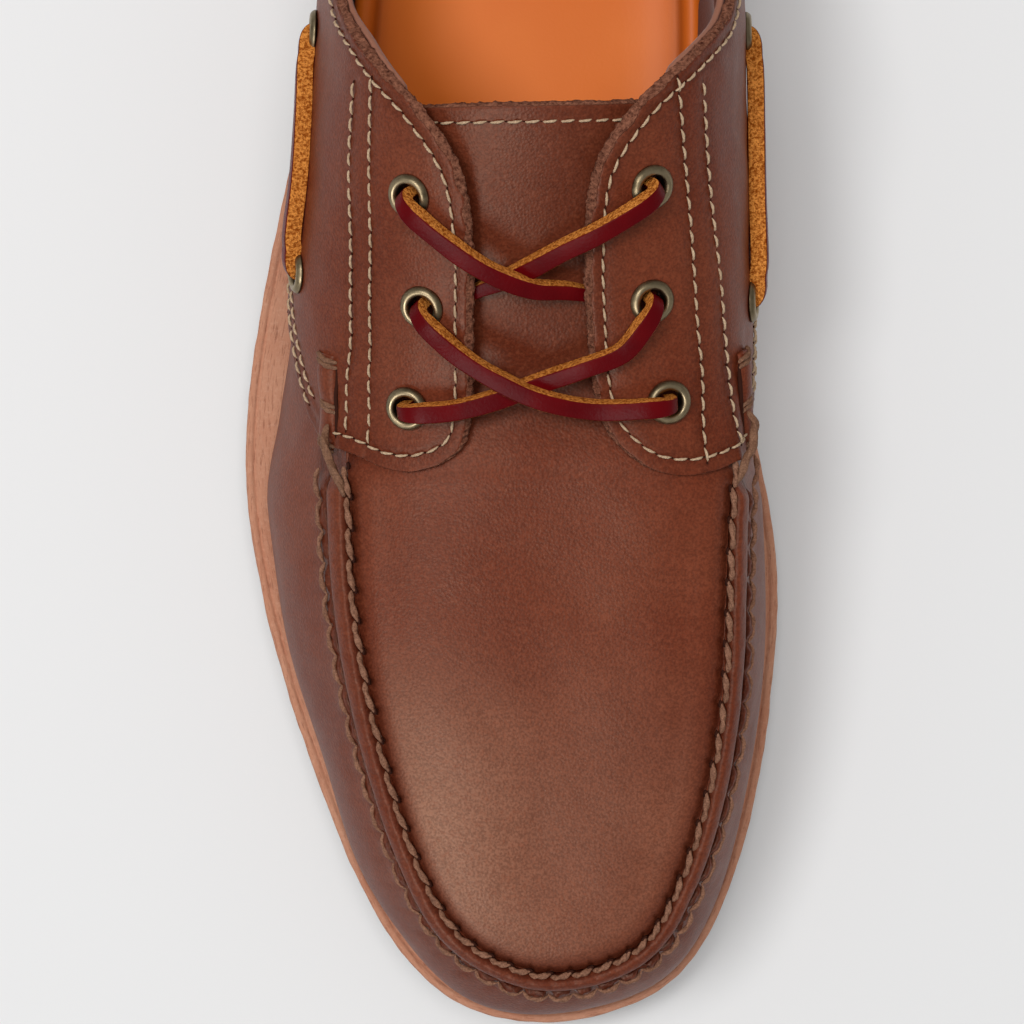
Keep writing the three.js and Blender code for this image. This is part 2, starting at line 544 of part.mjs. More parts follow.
// Where the lace comes up through an eyelet and bends over its rim towards a point.
function rising([u, v, lift], target) {
  const n = outward(u, v);
  const o = add(last(u, v), n, lift);
  const way = sub(target, o);
  const d = unit(add(way, n, -dot(way, n)));
  const back = d.map((x) => -x);
  const both = unit(add(n, d, -1));
  const q = (along, height, ref, size) => ({ p: add(add(o, d, along), n, height), ref, size });
  return [
    q(-0.3, -1.9, back, 0.68), q(-0.3, -0.2, back, 0.68), q(-0.1, 1.3, back, 0.72), q(0.9, 2.65, both, 0.82),
    q(2.6, 3.15, n, 0.95), q(4.6, 3.0, n, 1),
  ];
}
const over = ([u, v, height, size = 1]) => ({ p: skin(u, v, height), ref: outward(u, v), size });
function strand(from, via, to, steps) {
  const middle = via.map(over);
  const start = rising(EYELETS[from], middle[0].p);
  const end = to ? rising(EYELETS[to], middle[middle.length - 1].p).reverse() : [];
  return lace([...start, ...middle, ...end], steps);
}
// Middle of each strand: station, height parameter, distance over the last, size.
const UPPER_A = [
  [6.82, 1.81, 2.0], [6.95, 1.91, 1.0], [20.96, 1.99, -0.6], [20.92, 1.88, -2.9, 0.9],
  [20.89, 1.81, -3.95, 0.74], [20.87, 1.76, -4.0, 0.74],
];
const UPPER_B = [
  [21.35, 1.8, 2.35], [21.22, 1.9, 0.4], [6.95, 1.98, -2.5], [7.03, 1.9, -3.5, 0.9], [7.09, 1.81, -3.95, 0.74],
  [7.13, 1.76, -4.0, 0.74],
];
const LOWER_C = [[20.58, 1.67, 2.2], [20.48, 1.81, 2.1], [20.36, 1.97, 0.2], [7.72, 1.88, 1.7], [7.78, 1.7, 2.7]];
const LOWER_D = [[7.43, 1.75, 2.2], [7.57, 1.87, 2.6], [20.29, 1.97, 3.1], [20.19, 1.76, 2.1]];
const SIDE_OUTER = [[6.6, 0.9, 2.15], [6.2, 0.94, 2.1], [5.75, 0.93, 2.1], [5.4, 0.9, 2.15]];
const SIDE_INNER = [[21.2, 0.88, 2.15], [21.65, 0.91, 2.1], [22.1, 0.9, 2.1], [22.5, 0.88, 2.15]];
const laceUpper = strand('eyelet_outer_top', UPPER_A, null, 18)
  .add(strand('eyelet_inner_top', UPPER_B, null, 18));
const laceLower = strand('eyelet_inner_middle', LOWER_C, 'eyelet_outer_bottom', 22)
  .add(strand('eyelet_outer_middle', LOWER_D, 'eyelet_inner_bottom', 22));
const laceOuter = strand('eyelet_side_outer_front', SIDE_OUTER, 'eyelet_side_outer_rear', 16);
const laceInner = strand('eyelet_side_inner_front', SIDE_INNER, 'eyelet_side_inner_rear', 16);

// ---------------------------------------------------------------- materials and assembly
const skinOf = (color, roughness, metalness = 0) =>
  new THREE.MeshStandardMaterial({ color, roughness, metalness });
const brownLeather = skinOf(0x7a4634, 0.6);
const orangeLeather = skinOf(0xc8631f, 0.6);
const tanLeather = skinOf(0xbe7d5f, 0.8);
const rubber = skinOf(0x6b4a38, 0.85);
const brass = skinOf(0x7f7350, 0.4, 1);
const rawhide = skinOf(0x6b1016, 0.55);

const shoe = new THREE.Group();
shoe.name = 'boat_shoe';
shoe.add(
  mesh('outsole', outsole, rubber),
  mesh('midsole', midsole, tanLeather),
  mesh('footbed', footbed, orangeLeather),
  mesh('upper', upper, brownLeather), mesh('tongue', tongue, brownLeather),
  mesh('quarter_outer', quarter(-1), brownLeather), mesh('quarter_inner', quarter(1), brownLeather),
  mesh('heel_counter', counter, brownLeather),
  ...Object.entries(EYELETS).map(([name, at]) => mesh(name, eyelet(at), brass)),
  mesh('lace_upper_cross', laceUpper, rawhide), mesh('lace_lower_cross', laceLower, rawhide),
  mesh('lace_side_outer', laceOuter, rawhide), mesh('lace_side_inner', laceInner, rawhide),
);
export default shoe;
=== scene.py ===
"""Boat shoe for the right foot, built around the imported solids: moccasin wall gathered to an apron under a
raised seam, laced quarters, side laces, lugged sole. All shapes are worked out in millimetres on the last."""
import math

import bmesh
import bpy
import numpy as np
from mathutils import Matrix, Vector


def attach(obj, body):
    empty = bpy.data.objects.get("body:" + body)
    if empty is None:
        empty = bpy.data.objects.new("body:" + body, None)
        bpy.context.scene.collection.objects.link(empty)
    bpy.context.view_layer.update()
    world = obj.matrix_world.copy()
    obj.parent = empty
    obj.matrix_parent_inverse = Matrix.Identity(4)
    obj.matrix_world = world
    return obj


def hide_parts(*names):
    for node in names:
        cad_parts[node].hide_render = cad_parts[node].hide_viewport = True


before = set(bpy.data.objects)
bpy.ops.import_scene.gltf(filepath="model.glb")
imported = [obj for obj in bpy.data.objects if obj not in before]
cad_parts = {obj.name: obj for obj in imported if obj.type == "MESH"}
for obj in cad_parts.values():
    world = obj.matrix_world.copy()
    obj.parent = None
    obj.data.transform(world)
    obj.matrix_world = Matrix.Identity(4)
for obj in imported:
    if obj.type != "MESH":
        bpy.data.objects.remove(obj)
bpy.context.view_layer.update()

bl_info = {
    "name": "Boat shoe",
    "version": (1, 0, 0),
    "blender": (4, 5, 0),
    "location": "View3D > Sidebar > Boat shoe",
    "description": "Builds a hand-sewn leather boat shoe piece by piece on its last",
    "category": "Add Mesh",
}

MM = 0.001
SIDES = {"outer": 0, "inner": 1}      # outer: little toe's side, at -X; inner: big toe's side, at +X


# ---------------------------------------------------------------------------------------------------- tables
# The last, a row per section from the back of the heel along the outer side to the toe and back along the
# inner side. x, y: edge of the sole. rim: how far the foot of the wall stands in from it. belly: outward
# bulge of the wall. sx, sy, sz: shoulder, which is the apron seam on the vamp. lean, rise: degrees from
# vertical of the wall below and of the top above the shoulder.
LAST = np.array([
    # x      y      rim  belly  sx     sy     sz    lean rise
    [3.0, 148.5, 4.0, 1.0, 3.0, 142.5, 58.0, 4, 4],
    [-17.5, 144.5, 4.0, 1.0, -16.0, 138.5, 57.5, 4, 4],
    [-31.0, 128.0, 4.0, 1.0, -28.5, 124.0, 57.0, 5, 5],
    [-35.0, 103.0, 4.0, 1.0, -32.3, 102.0, 56.0, 6, 7],
    [-36.5, 75.0, 3.5, 1.2, -34.4, 76.0, 55.0, 7, 9],
    [-39.5, 50.0, 3.5, 0.6, -36.6, 50.0, 56.0, 9, 13],
    [-45.3, 22.0, 5.0, 0.0, -37.4, 22.0, 58.0, 15, 17],
    [-51.0, -5.0, 6.2, 0.6, -38.3, -5.0, 56.0, 25, 30],
    [-54.2, -33.0, 5.0, 0.9, -32.2, -33.0, 56.0, 32, 50],
    [-51.8, -58.0, 4.4, 0.9, -30.6, -57.0, 54.3, 32, 62],
    [-45.8, -82.0, 3.6, 0.9, -27.4, -81.0, 51.5, 32, 64],
    [-37.6, -105.5, 2.9, 1.2, -20.8, -106.0, 49.0, 32, 62],
    [-28.3, -126.0, 2.9, 1.2, -11.9, -125.0, 46.8, 32, 60],
    [-13.8, -143.1, 3.1, 1.2, -1.5, -133.0, 45.4, 32, 58],
    [7.4, -148.7, 3.2, 1.2, 9.5, -135.2, 45.0, 32, 58],
    [28.3, -143.2, 3.1, 1.2, 22.9, -130.8, 45.7, 32, 58],
    [40.7, -129.6, 3.0, 1.2, 30.7, -120.6, 47.1, 30, 60],
    [48.7, -107.0, 3.2, 1.2, 36.6, -103.5, 50.0, 27, 63],
    [52.9, -81.1, 3.7, 1.2, 40.4, -80.4, 53.6, 23, 64],
    [53.8, -55.6, 4.1, 1.4, 41.2, -55.2, 57.9, 18, 61],
    [49.4, -30.5, 3.7, 2.1, 42.1, -30.6, 60.4, 19, 43],
    [44.7, -4.8, 3.0, 2.7, 43.6, -4.8, 59.5, 17, 17],
    [42.7, 23.3, 3.0, 3.4, 43.9, 23.3, 58.5, 8, 9],
    [42.8, 52.4, 3.0, 3.2, 43.6, 52.4, 56.6, 6, 6],
    [42.3, 80.7, 3.3, 1.8, 41.0, 80.8, 55.8, 6, 6],
    [40.4, 107.1, 3.9, 1.2, 38.1, 106.1, 56.8, 6, 6],
    [34.8, 129.5, 4.0, 1.0, 32.1, 125.9, 57.4, 5, 5],
    [21.6, 144.4, 4.0, 1.0, 20.0, 138.5, 58.0, 4, 4],
])
# The top line of the last, a row per section from heel to toe: x, y, z.
SPINE = np.array([
    [3.0, 112.0, 116.0], [3.0, 110.9, 115.9], [3.2, 106.0, 115.4], [3.7, 95.4, 114.4], [4.3, 77.5, 112.4],
    [4.6, 51.2, 106.0], [4.1, 22.7, 93.8], [3.5, -4.9, 79.6], [3.5, -31.7, 67.8], [3.8, -54.5, 61.2],
    [4.6, -74.7, 57.3], [5.1, -88.9, 54.8], [5.4, -97.6, 53.3], [5.5, -100.9, 52.7], [5.5, -102.0, 52.5],
])
# Side view of the sole: y, tread, top of the sole strip.
SOLE = np.array([
    [-150, 9.0, 20.0], [-125, 4.4, 16.2], [-100, 1.3, 14.2], [-84, 0, 13.5], [-50, 0, 13.0], [-25, 0, 13.4],
    [0, 0, 14.6], [30, 0, 17.0], [60, 0, 19.4], [90, 0, 21.2], [120, 0, 22.4], [150, 0, 23.2],
])
# Side view of the collar: y, height.
COLLAR = np.array([
    [34, 90], [37, 85.2], [40, 80.6], [43, 76.8], [47, 73], [52, 70], [60, 67.6], [70, 66.8], [84, 68.4],
    [98, 72], [112, 76.2], [126, 80.6], [140, 84], [160, 85],
])
# Edges of the quarters from the waist to the rounded front of the facing: station counted from the heel,
# height parameter of the lower edge, of the upper edge.
QUARTER_EDGES = {
    "outer": np.array([
        [5.30, 0.00, 1.330], [5.60, 0.12, 1.485], [5.90, 0.28, 1.645], [6.30, 0.455, 1.778],
        [6.80, 0.59, 1.813], [7.30, 0.655, 1.793], [7.70, 0.72, 1.765], [7.95, 0.83, 1.732],
        [8.09, 1.08, 1.685], [8.19, 1.24, 1.575], [8.23, 1.41, 1.41],
    ]),
    "inner": np.array([
        [5.30, 0.00, 1.295], [5.60, 0.06, 1.505], [5.90, 0.24, 1.690], [6.30, 0.425, 1.815],
        [6.80, 0.555, 1.826], [7.30, 0.60, 1.798], [7.70, 0.65, 1.762], [7.98, 0.74, 1.700],
        [8.17, 0.91, 1.590], [8.29, 1.11, 1.460], [8.33, 1.29, 1.29],
    ]),
}
# Double row that runs down the facing beside the eyelets: station from the heel, height parameters.
DOUBLE_ROWS = {
    "outer": np.array([[5.66, 1.355, 1.455], [6.10, 1.325, 1.435], [6.75, 1.318, 1.420], [7.28, 1.235, 1.345],
                       [7.60, 1.130, 1.265], [7.98, 1.035, 1.185], [8.16, 0.99, 1.15]]),
    "inner": np.array([[5.72, 1.440, 1.560], [6.45, 1.345, 1.465], [7.15, 1.205, 1.365], [7.65, 1.090, 1.265],
                       [8.14, .975, 1.205], [8.38, 0.92, 1.165]]),
}
DOUBLE_ENDS = {"outer": (7.99, 8.12), "inner": (8.2, 8.35)}         # stations at which the two rows stop
# Side view of the front edge of the heel counter: height, y.
COUNTER_EDGE = np.array([[6, 98], [22, 101], [40, 108], [56, 118], [68, 127], [80, 132], [96, 133]])
# Eyelets: station round the last, height parameter, lift off the last.
EYELETS = {
    "eyelet_outer_top": (6.43, 1.6, 0), "eyelet_outer_middle": (7.14, 1.61, 0),
    "eyelet_outer_bottom": (7.78, 1.45, 0.75), "eyelet_inner_top": (21.61, 1.62, 0),
    "eyelet_inner_middle": (20.89, 1.57, 0), "eyelet_inner_bottom": (20.21, 1.43, 0.6),
    "eyelet_side_outer_front": (6.84, 0.86, 0), "eyelet_side_outer_rear": (5.18, 0.88, 0),
    "eyelet_side_inner_front": (20.95, 0.84, 0), "eyelet_side_inner_rear": (22.74, 0.86, 0),
}
# Middles of the lace's runs: station, height parameter, distance over the last, size.
UPPER_A = [(6.82, 1.81, 2.0, 1), (6.95, 1.91, 1.0, 1), (20.96, 1.99, -0.6, 1), (20.92, 1.88, -2.9, 0.9),
           (20.89, 1.81, -3.95, 0.74), (20.87, 1.76, -4.0, 0.74)]
UPPER_B = [(21.35, 1.8, 2.35, 1), (21.22, 1.9, 0.4, 1), (6.95, 1.98, -2.5, 1), (7.03, 1.9, -3.5, 0.9),
           (7.09, 1.81, -3.95, 0.74), (7.13, 1.76, -4.0, 0.74)]
LOWER_C = [(20.58, 1.67, 2.2, 1), (20.48, 1.81, 2.1, 1), (20.36, 1.97, 0.2, 1), (7.72, 1.88, 1.7, 1),
           (7.78, 1.7, 2.7, 1)]
LOWER_D = [(7.43, 1.75, 2.2, 1), (7.57, 1.87, 2.6, 1), (20.29, 1.97, 3.1, 1), (20.19, 1.76, 2.1, 1)]
SIDE_OUTER = [(6.6, 0.9, 1.75, 1), (6.2, 0.94, 1.75, 1), (5.75, 0.93, 1.75, 1), (5.4, 0.9, 1.6, 1)]
SIDE_INNER = [(21.2, 0.88, 1.75, 1), (21.65, 0.91, 1.75, 1), (22.1, 0.9, 1.75, 1), (22.5, 0.88, 1.6, 1)]

QUARTER = 2.0             # quarter leather
GAP = 0.3                 # fit between curved solids
TUCK = QUARTER + GAP      # how far the vamp sits back under the quarters
VAMP_WALL = 2.2           # vamp leather
LINING_WALL = 1.6         # backed leather under the quarters
TONGUE = 2.2              # tongue leather
TONGUE_DROP = 3.1         # room for the lace between tongue and quarters
COUNTER = 1.5             # heel counter leather
STRIP = 4.6               # height of the sole strip
LUG = 3.4                 # depth of the tread grooves
TOE_STATION = 14.0        # station of the toe, halfway round from the heel
HINGE = 7.95              # station, counted from the heel, where the apron seam goes under the quarters
SEAM_PITCH = 5.9          # hand stitch of the apron seam
TOE_CLOSING = 1.8         # how much shorter that stitch is round the toe
WALL_REACH = 38           # millimetres of leather to one step of the height parameter
APRON_REACH = 33          # millimetres from the apron's seam to its top line
UPTURN = 0.55             # how far the raised seam leans up from the last's normal


# ------------------------------------------------------------------------------------------- curves and noise
def unit(a):
    """Vectors scaled to length 1."""
    return a / np.maximum(np.linalg.norm(a, axis=-1, keepdims=True), 1e-12)


def smoothstep(t):
    """0 below 0, 1 above 1, and 3t^2 - 2t^3 between."""
    s = np.clip(t, 0, 1)
    return s * s * (3 - 2 * s)


def fitted(rows):
    """Control rows of the closed cubic B-spline that passes through every row: each pass adds what
    (before + 4 row + after) / 6 still misses."""
    c = rows.astype(float).copy()
    for _ in range(30):
        c += rows - (np.roll(c, 1, 0) + 4 * c + np.roll(c, -1, 0)) / 6
    return c


LAST_CONTROL = fitted(LAST)
SPINE_CONTROL = fitted(np.concatenate([SPINE, SPINE[-2:0:-1]]))
STATIONS = len(LAST)


def around(control, u):
    """Closed uniform cubic B-spline at station u: four control rows weighted by the cubic basis."""
    n = len(control)
    w = np.asarray(u, float) % n
    i = np.floor(w).astype(int)
    f = (w - i)[..., None]
    row = [control[(i + k) % n] for k in (-1, 0, 1, 2)]
    return ((1 - f) ** 3 * row[0] + (3 * f**3 - 6 * f**2 + 4) * row[1]
            + (-3 * f**3 + 3 * f**2 + 3 * f + 1) * row[2] + f**3 * row[3]) / 6


def reading(table, x, column=1):
    """Smooth reading of a table whose first column increases: cubic Hermite pieces with three-point
    slopes."""
    xs, ys = table[:, 0].astype(float), table[:, column].astype(float)
    x = np.clip(np.asarray(x, float), xs[0], xs[-1])
    h = np.diff(xs)
    d = np.diff(ys) / h
    m = np.concatenate([[d[0]], (d[:-1] * h[1:] + d[1:] * h[:-1]) / (h[:-1] + h[1:]), [d[-1]]])
    i = np.clip(np.searchsorted(xs, x, "right") - 1, 0, len(xs) - 2)
    t = (x - xs[i]) / h[i]
    return (ys[i] * (1 + 2 * t) * (1 - t) ** 2 + ys[i + 1] * t * t * (3 - 2 * t)
            + h[i] * (m[i] * t * (1 - t) ** 2 - m[i + 1] * t * t * (1 - t)))


def rounded(rows, q):
    """Catmull-Rom curve through table rows at row number q, with the rows past both ends extrapolated."""
    r = np.concatenate([[2 * rows[0] - rows[1]], rows, [2 * rows[-1] - rows[-2]]])
    i = np.clip(np.floor(q).astype(int), 0, len(rows) - 2)
    t = (q - i)[..., None]
    a, b, c, d = r[i], r[i + 1], r[i + 2], r[i + 3]
    return 0.5 * (2 * b + (c - a) * t + (2 * a - 5 * b + 4 * c - d) * t**2 + (3 * b - a - 3 * c + d) * t**3)


def waves(p, size, seed, count=9):
    """Smooth value of about -1 to 1 over points: the sum of sine waves of random direction, each about size
    long."""
    rng = np.random.default_rng(seed)
    k = unit(rng.normal(size=(count, 3))) * 2 * np.pi / (size * rng.uniform(0.7, 1.5, (count, 1)))
    return np.sin(p @ k.T + rng.uniform(0, 2 * np.pi, count)).sum(-1) / math.sqrt(count)


def lengths(p):
    """Length along a polyline up to each of its points."""
    return np.concatenate([[0], np.cumsum(np.linalg.norm(np.diff(p, axis=0), axis=1))])


def along_curve(s, at, values):
    """Rows of values, given at lengths s, read at lengths at."""
    return np.stack([np.interp(at, s, values[:, k]) for k in range(values.shape[1])], -1)


def bezier(a, b, c, d, t):
    """Cubic Bezier from a to d."""
    return a * (1 - t) ** 3 + 3 * b * t * (1 - t) ** 2 + 3 * c * t * t * (1 - t) + d * t**3


# --------------------------------------------------------------------------------------------------- the last
def rim(y):
    """Top of the sole strip at y."""
    return reading(SOLE, y, 2)


def spine_slope(u):
    """Slope dz/dy of the top line at a station."""
    w = np.asarray(u, float) % STATIONS
    k = np.clip(np.where(w > TOE_STATION, STATIONS - w, w), 0.6, 13.4)
    a, b = around(SPINE_CONTROL, k + 0.4), around(SPINE_CONTROL, k - 0.4)
    return (a[..., 2] - b[..., 2]) / (a[..., 1] - b[..., 1])


def edge_frame(u):
    """Table row and inward plan direction at a station: the edge's tangent turned a quarter turn."""
    r = around(LAST_CONTROL, u)
    t = unit(around(LAST_CONTROL, u + 0.01)[..., :2] - around(LAST_CONTROL, u - 0.01)[..., :2])
    return r, np.stack([-t[..., 1], t[..., 0]], -1)


def last(u, v):
    """Point of the last: u round the shoe, v 0 at the foot of the wall, 1 at the shoulder, 2 on the top line.
    Below the shoulder and above it runs one cubic Bezier each, with the table's lean and rise as tangents."""
    u, v = np.broadcast_arrays(np.asarray(u, float), np.asarray(v, float))
    r, inward = edge_frame(u)
    flat = r[..., :2] + inward * r[..., 2:3]
    foot = np.concatenate([flat, (rim(flat[..., 1]) + GAP)[..., None]], -1)
    shoulder, top = r[..., 4:7], around(SPINE_CONTROL, u)
    up = top - shoulder
    plan = unit(up[..., :2])
    low, high = (np.linalg.norm(x, axis=-1, keepdims=True) for x in (shoulder - foot, up))
    lean, rise = np.radians(r[..., 7:8]), np.radians(r[..., 8:9])
    b = foot + np.concatenate([-inward * r[..., 3:4] * 2.2, 0.34 * low], -1)
    c = shoulder - np.concatenate([inward * np.sin(lean), np.cos(lean)], -1) * 0.36 * low
    d = shoulder + np.concatenate([plan * np.sin(rise), np.cos(rise)], -1) * 0.36 * high
    e = top - unit(np.concatenate([plan, (spine_slope(u) * plan[..., 1])[..., None]], -1)) * 0.42 * high
    t, w = np.clip(v, 0, 1)[..., None], np.clip(v - 1, 0, 1)[..., None]
    return np.where((v <= 1)[..., None], bezier(foot, b, c, shoulder, t), bezier(shoulder, d, e, top, w))


def outward(u, v):
    """Normal of the last: cross product of its two derivatives, turning into the top line's own at v = 2."""
    u, v = np.broadcast_arrays(np.asarray(u, float), np.asarray(v, float))
    w = np.clip(v, 0.01, 1.97)
    n = unit(np.cross(last(u + 0.02, w) - last(u - 0.02, w), last(u, w + 0.01) - last(u, w - 0.01)))
    top = unit(np.stack([0 * u, -spine_slope(u), 1 + 0 * u], -1))
    k = smoothstep((v - 1.85) / 0.15)[..., None]
    return unit(n * (1 - k) + top * k)


def skin(u, v, off=0.0):
    """Point at a distance outside the last."""
    return last(u, v) + outward(u, v) * np.asarray(off, float)[..., None]


def behind(y):
    """0 on the vamp, 1 under the quarters."""
    return smoothstep((y + 46) / 20)


def station(side, k):
    """Station round the last from one counted from the heel on a side."""
    return k if side == "outer" else STATIONS - np.asarray(k, float)


def halving(shape, low, high, short, steps=20):
    """The value between low and high, for every element, at which short(value) turns from true to false."""
    lo, hi = np.full(shape, float(low)), np.full(shape, float(high))
    for _ in range(steps):
        mid = (lo + hi) / 2
        more = short(mid)
        lo, hi = np.where(more, mid, lo), np.where(more, hi, mid)
    return (lo + hi) / 2


def upper_edge(side, k):
    """v of the collar line behind the waist, where the last's side view crosses the collar's."""
    u = station(side, k)

    def under(v):
        p = last(u, v)
        return p[..., 2] < reading(COLLAR, p[..., 1])

    return halving(np.shape(u), 0.7, 1.99, under)


def aside(u, v, distance):
    """Moves a line of (u, v) over the last to its left by a distance: the sideways vector is solved for
    (du, dv) in the basis of the two derivatives. The left is that of one who walks it with the foot
    inside."""
    pu = (last(u + 0.01, v) - last(u - 0.01, v)) / 0.02
    pv = (last(u, v + 0.005) - last(u, v - 0.005)) / 0.01
    n = unit(np.cross(pu, pv))
    p = last(u, v)
    side = unit(np.cross(n, np.gradient(p, axis=0))) * distance
    a, b, c = (pu * pu).sum(-1), (pu * pv).sum(-1), (pv * pv).sum(-1)
    x, y = (side * pu).sum(-1), (side * pv).sum(-1)
    det = a * c - b * b
    return u + (x * c - y * b) / det, v + (y * a - x * b) / det


# ------------------------------------------------------------------------------------------- mesh and piece
def grid_faces(rows, columns, start=0, wrap=False):
    """Quads of a grid of rows by columns, the columns closing on themselves if wrap."""
    i = np.arange(rows * columns).reshape(rows, columns) + start
    if wrap:
        i = np.concatenate([i, i[:, :1]], 1)
    return np.stack([i[:-1, :-1], i[:-1, 1:], i[1:, 1:], i[1:, :-1]], -1).reshape(-1, 4)


def piece(name, points, faces, material, replaces=(), values=None, polygons=(),
          merge=0.0):
    """Puts points (mm), quads and a few larger polygons into a mesh with per-point values, as a piece that
    rides on the shoe."""
    mesh = bpy.data.meshes.new(name)
    flat = np.asarray(points, float).reshape(-1, 3) * MM
    quads = np.asarray(faces).reshape(-1, 4).tolist()
    mesh.from_pydata(flat.tolist(), [], quads + [list(p) for p in polygons])
    for key, value in (values or {}).items():
        layer = mesh.attributes.new(key, "FLOAT", "POINT")
        layer.data.foreach_set("value", np.asarray(value, np.float32).ravel())
    if merge:
        b = bmesh.new()
        b.from_mesh(mesh)
        bmesh.ops.remove_doubles(b, verts=b.verts, dist=merge * MM)
        bmesh.ops.dissolve_degenerate(b, edges=b.edges, dist=merge * MM)
        bmesh.ops.recalc_face_normals(b, faces=b.faces)
        b.to_mesh(mesh)
        b.free()
    mesh.polygons.foreach_set("use_smooth", [True] * len(mesh.polygons))
    mesh.materials.append(material)
    mesh.update()
    made = bpy.data.objects.new(name, mesh)
    bpy.context.scene.collection.objects.link(made)
    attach(made, "root")
    if replaces:
        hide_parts(*replaces)
    return made


def caps(rows, columns):
    """The polygons that close both ends of a tube of rings, a ring a row."""
    return [list(range(columns))[::-1], [(rows - 1) * columns + i for i in range(columns)]]


def carved(made, tool_name, points, faces):
    """Cuts a closed body (mm) out of a piece for good."""
    mesh = bpy.data.meshes.new(tool_name)
    mesh.from_pydata((points * MM).tolist(), [], faces)
    b = bmesh.new()
    b.from_mesh(mesh)
    bmesh.ops.recalc_face_normals(b, faces=b.faces)
    b.to_mesh(mesh)
    b.free()
    tool = bpy.data.objects.new(tool_name, mesh)
    bpy.context.scene.collection.objects.link(tool)
    cut = made.modifiers.new(tool_name, "BOOLEAN")
    cut.operation, cut.solver, cut.object = "DIFFERENCE", "EXACT", tool
    bpy.context.view_layer.update()
    done = bpy.data.meshes.new_from_object(made.evaluated_get(bpy.context.evaluated_depsgraph_get()))
    made.modifiers.clear()
    old, made.data = made.data, done
    bpy.data.meshes.remove(old)
    bpy.data.objects.remove(tool)
    return made


def panel(outer, inner, bulge=0.25, steps=3, fuzz=0.0, seed=1, near=True):
    """A closed sheet of leather between two grids of points: rounded cut edges along the first and last
    columns, plain ends. The cut edge runs straight from face to face and swells by bulge times a half sine.
    Without near, the first columns' halves meet and are welded instead of being closed by an edge.
    Returns points, quads, end polygons and the cut value, 1 on the cut edge."""
    m, n = outer.shape[:2]
    t = (np.arange(steps) + 1) / (steps + 1)

    def cut(a, b, way):
        line = a[:, None] * (1 - t[:, None]) + b[:, None] * t[:, None]
        rough = fuzz * waves(line * [1, 1, 1.3], 1.1, seed)[..., None]
        swell = bulge * np.sin(np.pi * t)[None, :, None] + rough
        return line + way[:, None] * swell

    parts = [outer, cut(outer[:, -1], inner[:, -1], unit(outer[:, -1] - outer[:, -2])), inner[:, ::-1]]
    if near:
        parts.append(cut(inner[:, 0], outer[:, 0], unit(outer[:, 0] - outer[:, 1])))
    ring = np.concatenate(parts, 1)
    width = ring.shape[1]
    raw = np.zeros((m, width))
    raw[:, n:n + steps] = 1
    raw[:, [n - 1, n + steps]] = 0.75
    if near:
        raw[:, 2 * n + steps:] = 1
        raw[:, [0, 2 * n + steps - 1]] = 0.75
    faces, ends = [grid_faces(m, width, 0, near)], []
    for row, turn in ((0, 1), (m - 1, -1)):
        base = row * width
        a = base + np.arange(n)
        b = base + 2 * n + steps - 1 - np.arange(n)
        faces.append(np.stack([a[:-1], b[:-1], b[1:], a[1:]], -1)[:, ::turn])
        ends.append([base + x for x in range(n - 1, n + steps + 1)][::-turn])
        if near:
            ends.append(([base + x for x in range(2 * n + steps - 1, width)] + [base])[::-turn])
    return ring, np.concatenate(faces), ends, raw


def pressed(points, normals, rows, depth=0.22, width=1.0):
    """Sinks points near sewn rows: depth times exp(-(distance / width)^2), the thread pulling the leather
    in."""
    flat = points.reshape(-1, 3)
    nearest = np.full(len(flat), 1e9)
    line = np.concatenate(rows)
    for part in np.array_split(line, max(1, len(line) // 150)):
        nearest = np.minimum(nearest, ((flat[:, None] - part[None]) ** 2).sum(-1).min(1))
    sink = depth * np.exp(-nearest / width**2)
    return points - normals * sink.reshape(points.shape[:-1])[..., None], np.exp(-nearest / 4.0).reshape(
        points.shape[:-1])


def tube_faces(count, rings, sides):
    """Quads of many equal tubes at once, and their two end polygons."""
    one = grid_faces(rings, sides, 0, True)
    size = rings * sides
    base = np.arange(count)[:, None, None] * size
    faces = (one[None] + base).reshape(-1, 4)
    head = np.arange(count)[:, None] * size + np.arange(sides)[::-1]
    tail = np.arange(count)[:, None] * size + size - sides + np.arange(sides)
    return faces, head.tolist() + tail.tolist()


